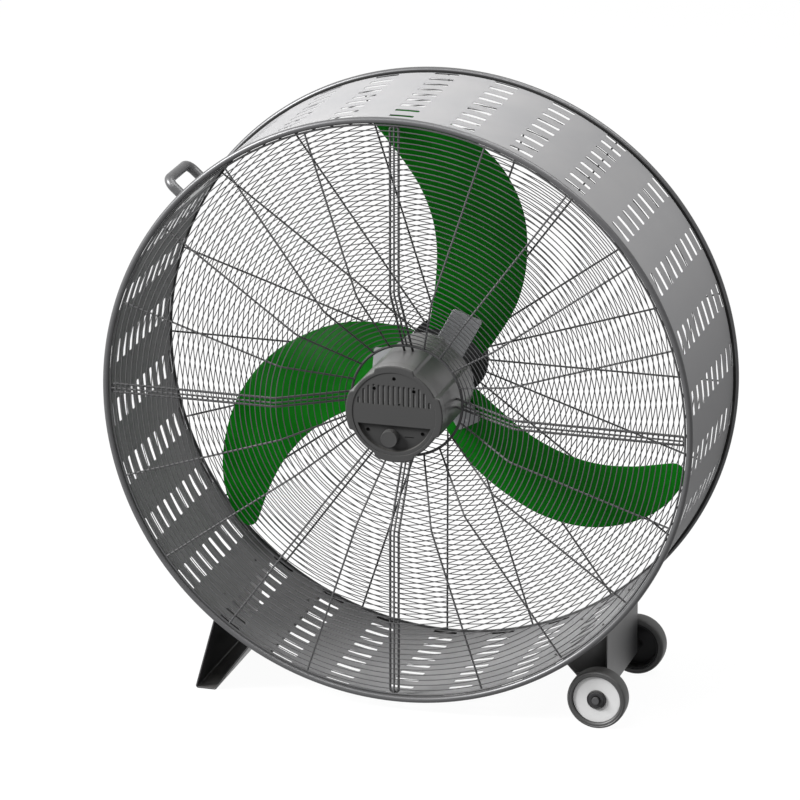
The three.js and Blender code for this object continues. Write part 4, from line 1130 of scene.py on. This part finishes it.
def bracket_plate():
    """The bracket's plate, whose inner end follows the hub."""
    lean = math.sqrt(1 - on_bracket.col[2].y ** 2)
    rows = [bracket_half - 2 * bracket_half * step / bracket_rows for step in range(bracket_rows + 1)]
    inner = [(math.sqrt((hub_radius - bracket_sink) ** 2 - (z * lean) ** 2), z) for z in rows]
    outer = [point for point in box_outline(0, bracket_end, -bracket_half, bracket_half, bracket_corner)
             if point[0] > bracket_end / 2]
    upper = [point for point in outer if point[1] > 0]
    lower = [point for point in outer if point[1] < 0]
    points, faces = pressed([inner + lower + upper], bracket_face, bracket_back, bracket_edge)
    return [on_bracket @ point for point in points], faces


def rivet(at):
    """A rivet that is flush in the bracket's face, with a round head behind the blade."""
    rivet_line = [(rivet_radius - 0.6, bracket_face - 0.25), (rivet_radius, bracket_face),
                  (rivet_radius, rivet_head), (6, rivet_head), (6, rivet_head + 1),
                  (5.2, rivet_head + 2.5), (3.4, rivet_head + 3.4), (1.4, rivet_head + 3.7)]
    points, faces = turned(rivet_line, small_sides)
    return [on_bracket @ (point + Vector((at, 0, 0))) for point in points], faces


for number, angle in enumerate(spread(0, 360, blade_count), 1):
    add_piece(f"bracket_{number}", turned_on(bracket_plate(), angle), "impeller", cast_metal,
              [f"blade_bracket_{number}"])
    for which, at in enumerate(rivet_places, 1):
        add_piece(f"rivet_{number}_{which}", turned_on(rivet(at), angle), "impeller", steel,
                  [f"blade_rivet_{number}_{which}"])

# ---- Leg ----
# The fan stands on one side on a leg folded from a single sheet of steel, painted black. Two flanges
# along its top lie on the drum and are bolted to it.

leg_sheet = 3
leg_bend = 4
leg_ends = (15, 398)
leg_line = [(-412.6, -458.2), (-390.3, -478.3), (-436, -646.7), (-391, -646.7), (-309.2, -533.5),
            (-270.2, -556)]


def folded(line, sheet, bend, front, back):
    """A folded sheet between two depths. The line gives the corners of one face in x and z, and the
    other face lies to its left."""
    corners = [Vector((x, 0, z)) for x, z in line]
    ways = [(after - before).normalized() for before, after in zip(corners, corners[1:])]
    lefts = [Vector((-way.z, 0, way.x)) for way in ways]
    middle = []
    for corner, before, after in zip(corners, lefts[:1] + lefts, lefts + lefts[-1:]):
        both = (before + after).normalized()
        middle.append(corner + both * (sheet / 2 / both.dot(after)))
    path = bent(middle, bend)
    half, edge = sheet / 2, sheet / 6
    section = [(edge - half, front), (half - edge, front), (half, front + edge), (half, back - edge),
               (half - edge, back), (edge - half, back), (-half, back - edge), (-half, front + edge)]
    rings = []
    for before, point, after in zip(path[:1] + path, path, path[1:] + path[-1:]):
        way = (after - before).normalized()
        left = Vector((-way.z, 0, way.x))
        rings.append([point + left * across + Vector((0, depth, 0)) for across, depth in section])
    return lofted(rings)


black_paint = coated("black_paint", colour(36, 36, 37), 0.42, specular=0.45, tone=0.06)
add_piece("folded_leg", folded(leg_line, leg_sheet, leg_bend, *leg_ends), "frame",
          black_paint, ["leg"])

# ---- Wheel bracket ----
# A channel folded from the same black sheet carries the axle. A cheek is welded across each end, and
# its two flanges are bolted to the drum.

channel_ends = (80, 334)
channel_line = [(308.3, -534), (335.1, -518.5), (407, -593.5), (435, -593.5), (434.3, -434.6),
                (412, -454.6)]
axle_x, axle_z = 425, -584.2
axle_hole = 6.3
cheek_line = [(408.5, -592), (433.5, -592), (433.5, -547.5), (366, -547.5)]
cheek_edge = 0.4


def cheek(front):
    """A plate across the channel, with the hole for the axle."""
    return pressed([cheek_line, circle_outline(axle_hole, axle_x, axle_z)], front, front + leg_sheet,
                   cheek_edge)


channel = folded(channel_line, leg_sheet, leg_bend, *channel_ends)
add_piece("axle_channel", joined(channel, cheek(channel_ends[0]), cheek(channel_ends[1] - leg_sheet)),
          "frame", black_paint, ["wheel_bracket"])

# ---- Flange bolts ----
# Black hexagon bolts on washers hold the leg and the wheel bracket on the plain strips of the drum's
# sheet, between the columns of slots.

strip_half_angle = 3.62
strip_flat = shell_radius * math.cos(math.radians(strip_half_angle))  # from the axis to a strip's flat
flange_face = 3.6
flange_bolt = (9.4, 7.5, 5, 2.6, 6.4)  # washer, corner, head, shank and length
bolt_depths = (103, 317)
# place of the strip, counted in slot columns, and offset round the drum
bolt_rows = {"leg_bolt": [(18.5, 15), (19.5, 27)], "bracket_bolt": [(24.5, 15), (25.5, 13)]}
for kind, rows in bolt_rows.items():
    places = [(strip, offset, depth) for strip, offset in rows for depth in bolt_depths]
    for number, (strip, offset, depth) in enumerate(places, 1):
        angle = first_slot_angle + 360 / slot_columns * strip
        start = polar(strip_flat + flange_face, angle, depth) + polar(offset, angle + 90)
        add_piece(f"hex_{kind}_{number}", aimed(bolt(*flange_bolt), start, polar(1, angle)), "frame",
                  dark_steel, [f"{kind}_{number}"])

# ---- Axle ----
# A plain steel rod carries both wheels and runs through the bracket's cheeks. A round head at each
# end stands in its wheel's cap.

# radius and depth from the front head to the rod, which the rear head mirrors
axle_line = [(5.6, 21.8), (7.3, 22.2), (8, 23.4), (8, 27.4), (7.6, 27.8), (6, 27.8)]
axle_line += [(radius, drum_depth - depth) for radius, depth in axle_line[::-1]]
axle_grey = coated("axle_grey", colour(62, 62, 63), 0.42, metallic=0.5, grain_size=0.6)
add_piece("axle_rod", shifted(turned(axle_line), axle_x, 0, axle_z), "frame", axle_grey,
          ["axle"])

# ---- Wheels ----
# Each wheel is a black rubber tyre on a black moulded rim. A pale disc closes its outer side, and a
# black cap with a round lip covers the middle of that.

wheel_inset = 26.6  # outer face from the drum's end
tyre_width = 38
wheel_steps = 120
# radius and distance from the wheel's outer face
tyre_line = [(50.4, 2.4), (51.6, 1), (53.6, 0.3), (55.6, 0.6), (56.4, 1), (57.4, 0.2), (59.2, 0.4),
             (60.7, 1.5), (61.6, 3.4), (62.1, 7), (62.4, 13), (62.5, 19)]
disc_line = [(8.6, 6.6), (45, 6.2), (48.6, 5.8), (49.8, 6.3), (50.2, 7.4), (50.2, 10.4), (8.6, 10.4)]
rim_line = [(6.3, 10.7), (50.2, 10.7), (50.3, 11.2), (50.3, 34.6), (49.6, 35.2), (46.8, 35.2),
            (46, 34.4), (45, 16), (43.4, 14.6), (13, 14.6), (11, 15.4), (10, 17.4), (10, 52.4),
            (9.5, 52.9), (6.3, 52.9)]
cap_line = [(8.4, 3.4), (8.6, 2.4), (9.6, 1.7), (14.8, 1.5), (16, 1.9), (16.6, 2.8), (17.2, 2.8),
            (18, 2), (19.2, 2.2), (20.1, 3.2), (20.4, 4.6), (20.4, 6.7), (8.4, 6.7)]
tyre_line += [(radius, tyre_width - depth) for radius, depth in tyre_line[-2::-1]]
rubber = coated("rubber", colour(44, 44, 44), 0.5, specular=0.4, tone=0.12, patch=25, grain_size=0.9,
                grain_depth=0.06, dusty=0.05)
pale_plastic = coated("pale_plastic", colour(158, 158, 158), 0.5, tone=0.03, patch=30, grain_depth=0.015,
                      dusty=0.02)
rim_plastic = coated("rim_plastic", colour(24, 24, 25), 0.55, specular=0.12, grain_depth=0.03)
for end, face, way in (("front", wheel_inset, 1), ("rear", drum_depth - wheel_inset, -1)):
    for part, line, finish, slot, stands_for in (
            ("tyre", tyre_line, rubber, "tyre", [f"{end}_wheel_tyre"]),
            ("disc", disc_line, pale_plastic, "wheel_plastic", [f"{end}_wheel_disc"]),
            ("rim", rim_line, rim_plastic, "black_plastic", []),
            ("cap", cap_line, black_plastic, "black_plastic", [f"{end}_wheel_cap"])):
        points, faces = turned(line, wheel_steps, closed=True)
        placed = [Vector((point.x + axle_x, face + way * point.y, point.z + axle_z)) for point in points]
        add_piece(f"{end}_{part}", (placed, faces), f"{end}_wheel", finish, stands_for)

# ---- Handle ----
# A bent steel tube in the beads' paint, welded to the drum's side above the leg. A plate backs
# the sheet inside the drum, and on it a plastic plug stands behind each end of the tube. The plate's
# near-white colour is painted light, since it lies in the drum's shade.

handle_angle = 138
handle_tube = 10.5
handle_start = shell_radius - 1.1  # the tube's ends, inside the sheet's thickness
handle_reach = 662.5
handle_depths = (44, 173)
handle_bend = 20
handle_bend_steps = 14
plate_half_angle = 2.7
plate_steps = 12
plate_depths = (15, 214)
plate_outer = shell_radius - shell_sheet
plate_inner = plate_outer - 7
handle_legs = [[polar(radius, handle_angle, depth) for radius in (handle_start, handle_reach)]
               for depth in handle_depths]
handle_line = bent(handle_legs[0] + handle_legs[1][::-1], handle_bend, handle_bend_steps)
weld_line = [(handle_tube - 0.3, -0.6), (handle_tube + 3, -0.6), (handle_tube + 2.4, 0.9),
             (handle_tube + 1, 2.2), (handle_tube - 0.3, 3.4)]
welds = [aimed(turned(weld_line, small_sides, closed=True), polar(shell_radius, handle_angle, depth),
               polar(1, handle_angle)) for depth in handle_depths]
add_piece("handle_tube", joined(wire(handle_line, handle_tube, small_sides), *welds), "frame",
          bead_paint, ["handle"])

plate_section = [(plate_outer, plate_depths[0]), (plate_outer, plate_depths[1]),
                 (plate_inner, plate_depths[1]), (plate_inner, plate_depths[0])]
plate_angles = [handle_angle + plate_half_angle * (2 * step / plate_steps - 1)
                for step in range(plate_steps + 1)]
backing = lofted([[polar(radius, angle, depth) for radius, depth in plate_section]
                  for angle in plate_angles])
# Near white: painted light on a plate that the drum shades.
backing_painted_light = coated("backing_painted_light", colour(216, 216, 217), 0.4, metallic=0.05, specular=0.2, tone=0.05,
                     dusty=0.03)
add_piece("handle_backing_plate", backing, "frame", backing_painted_light)
plug = turned([(9.6, 0), (9.6, 0.7), (8.8, 1.2), (6, 1.4)], small_sides)
plugs = [aimed(plug, polar(plate_inner + 0.3, handle_angle, depth), -polar(1, handle_angle))
         for depth in handle_depths]
add_piece("handle_plugs", joined(*plugs), "frame", black_plastic)
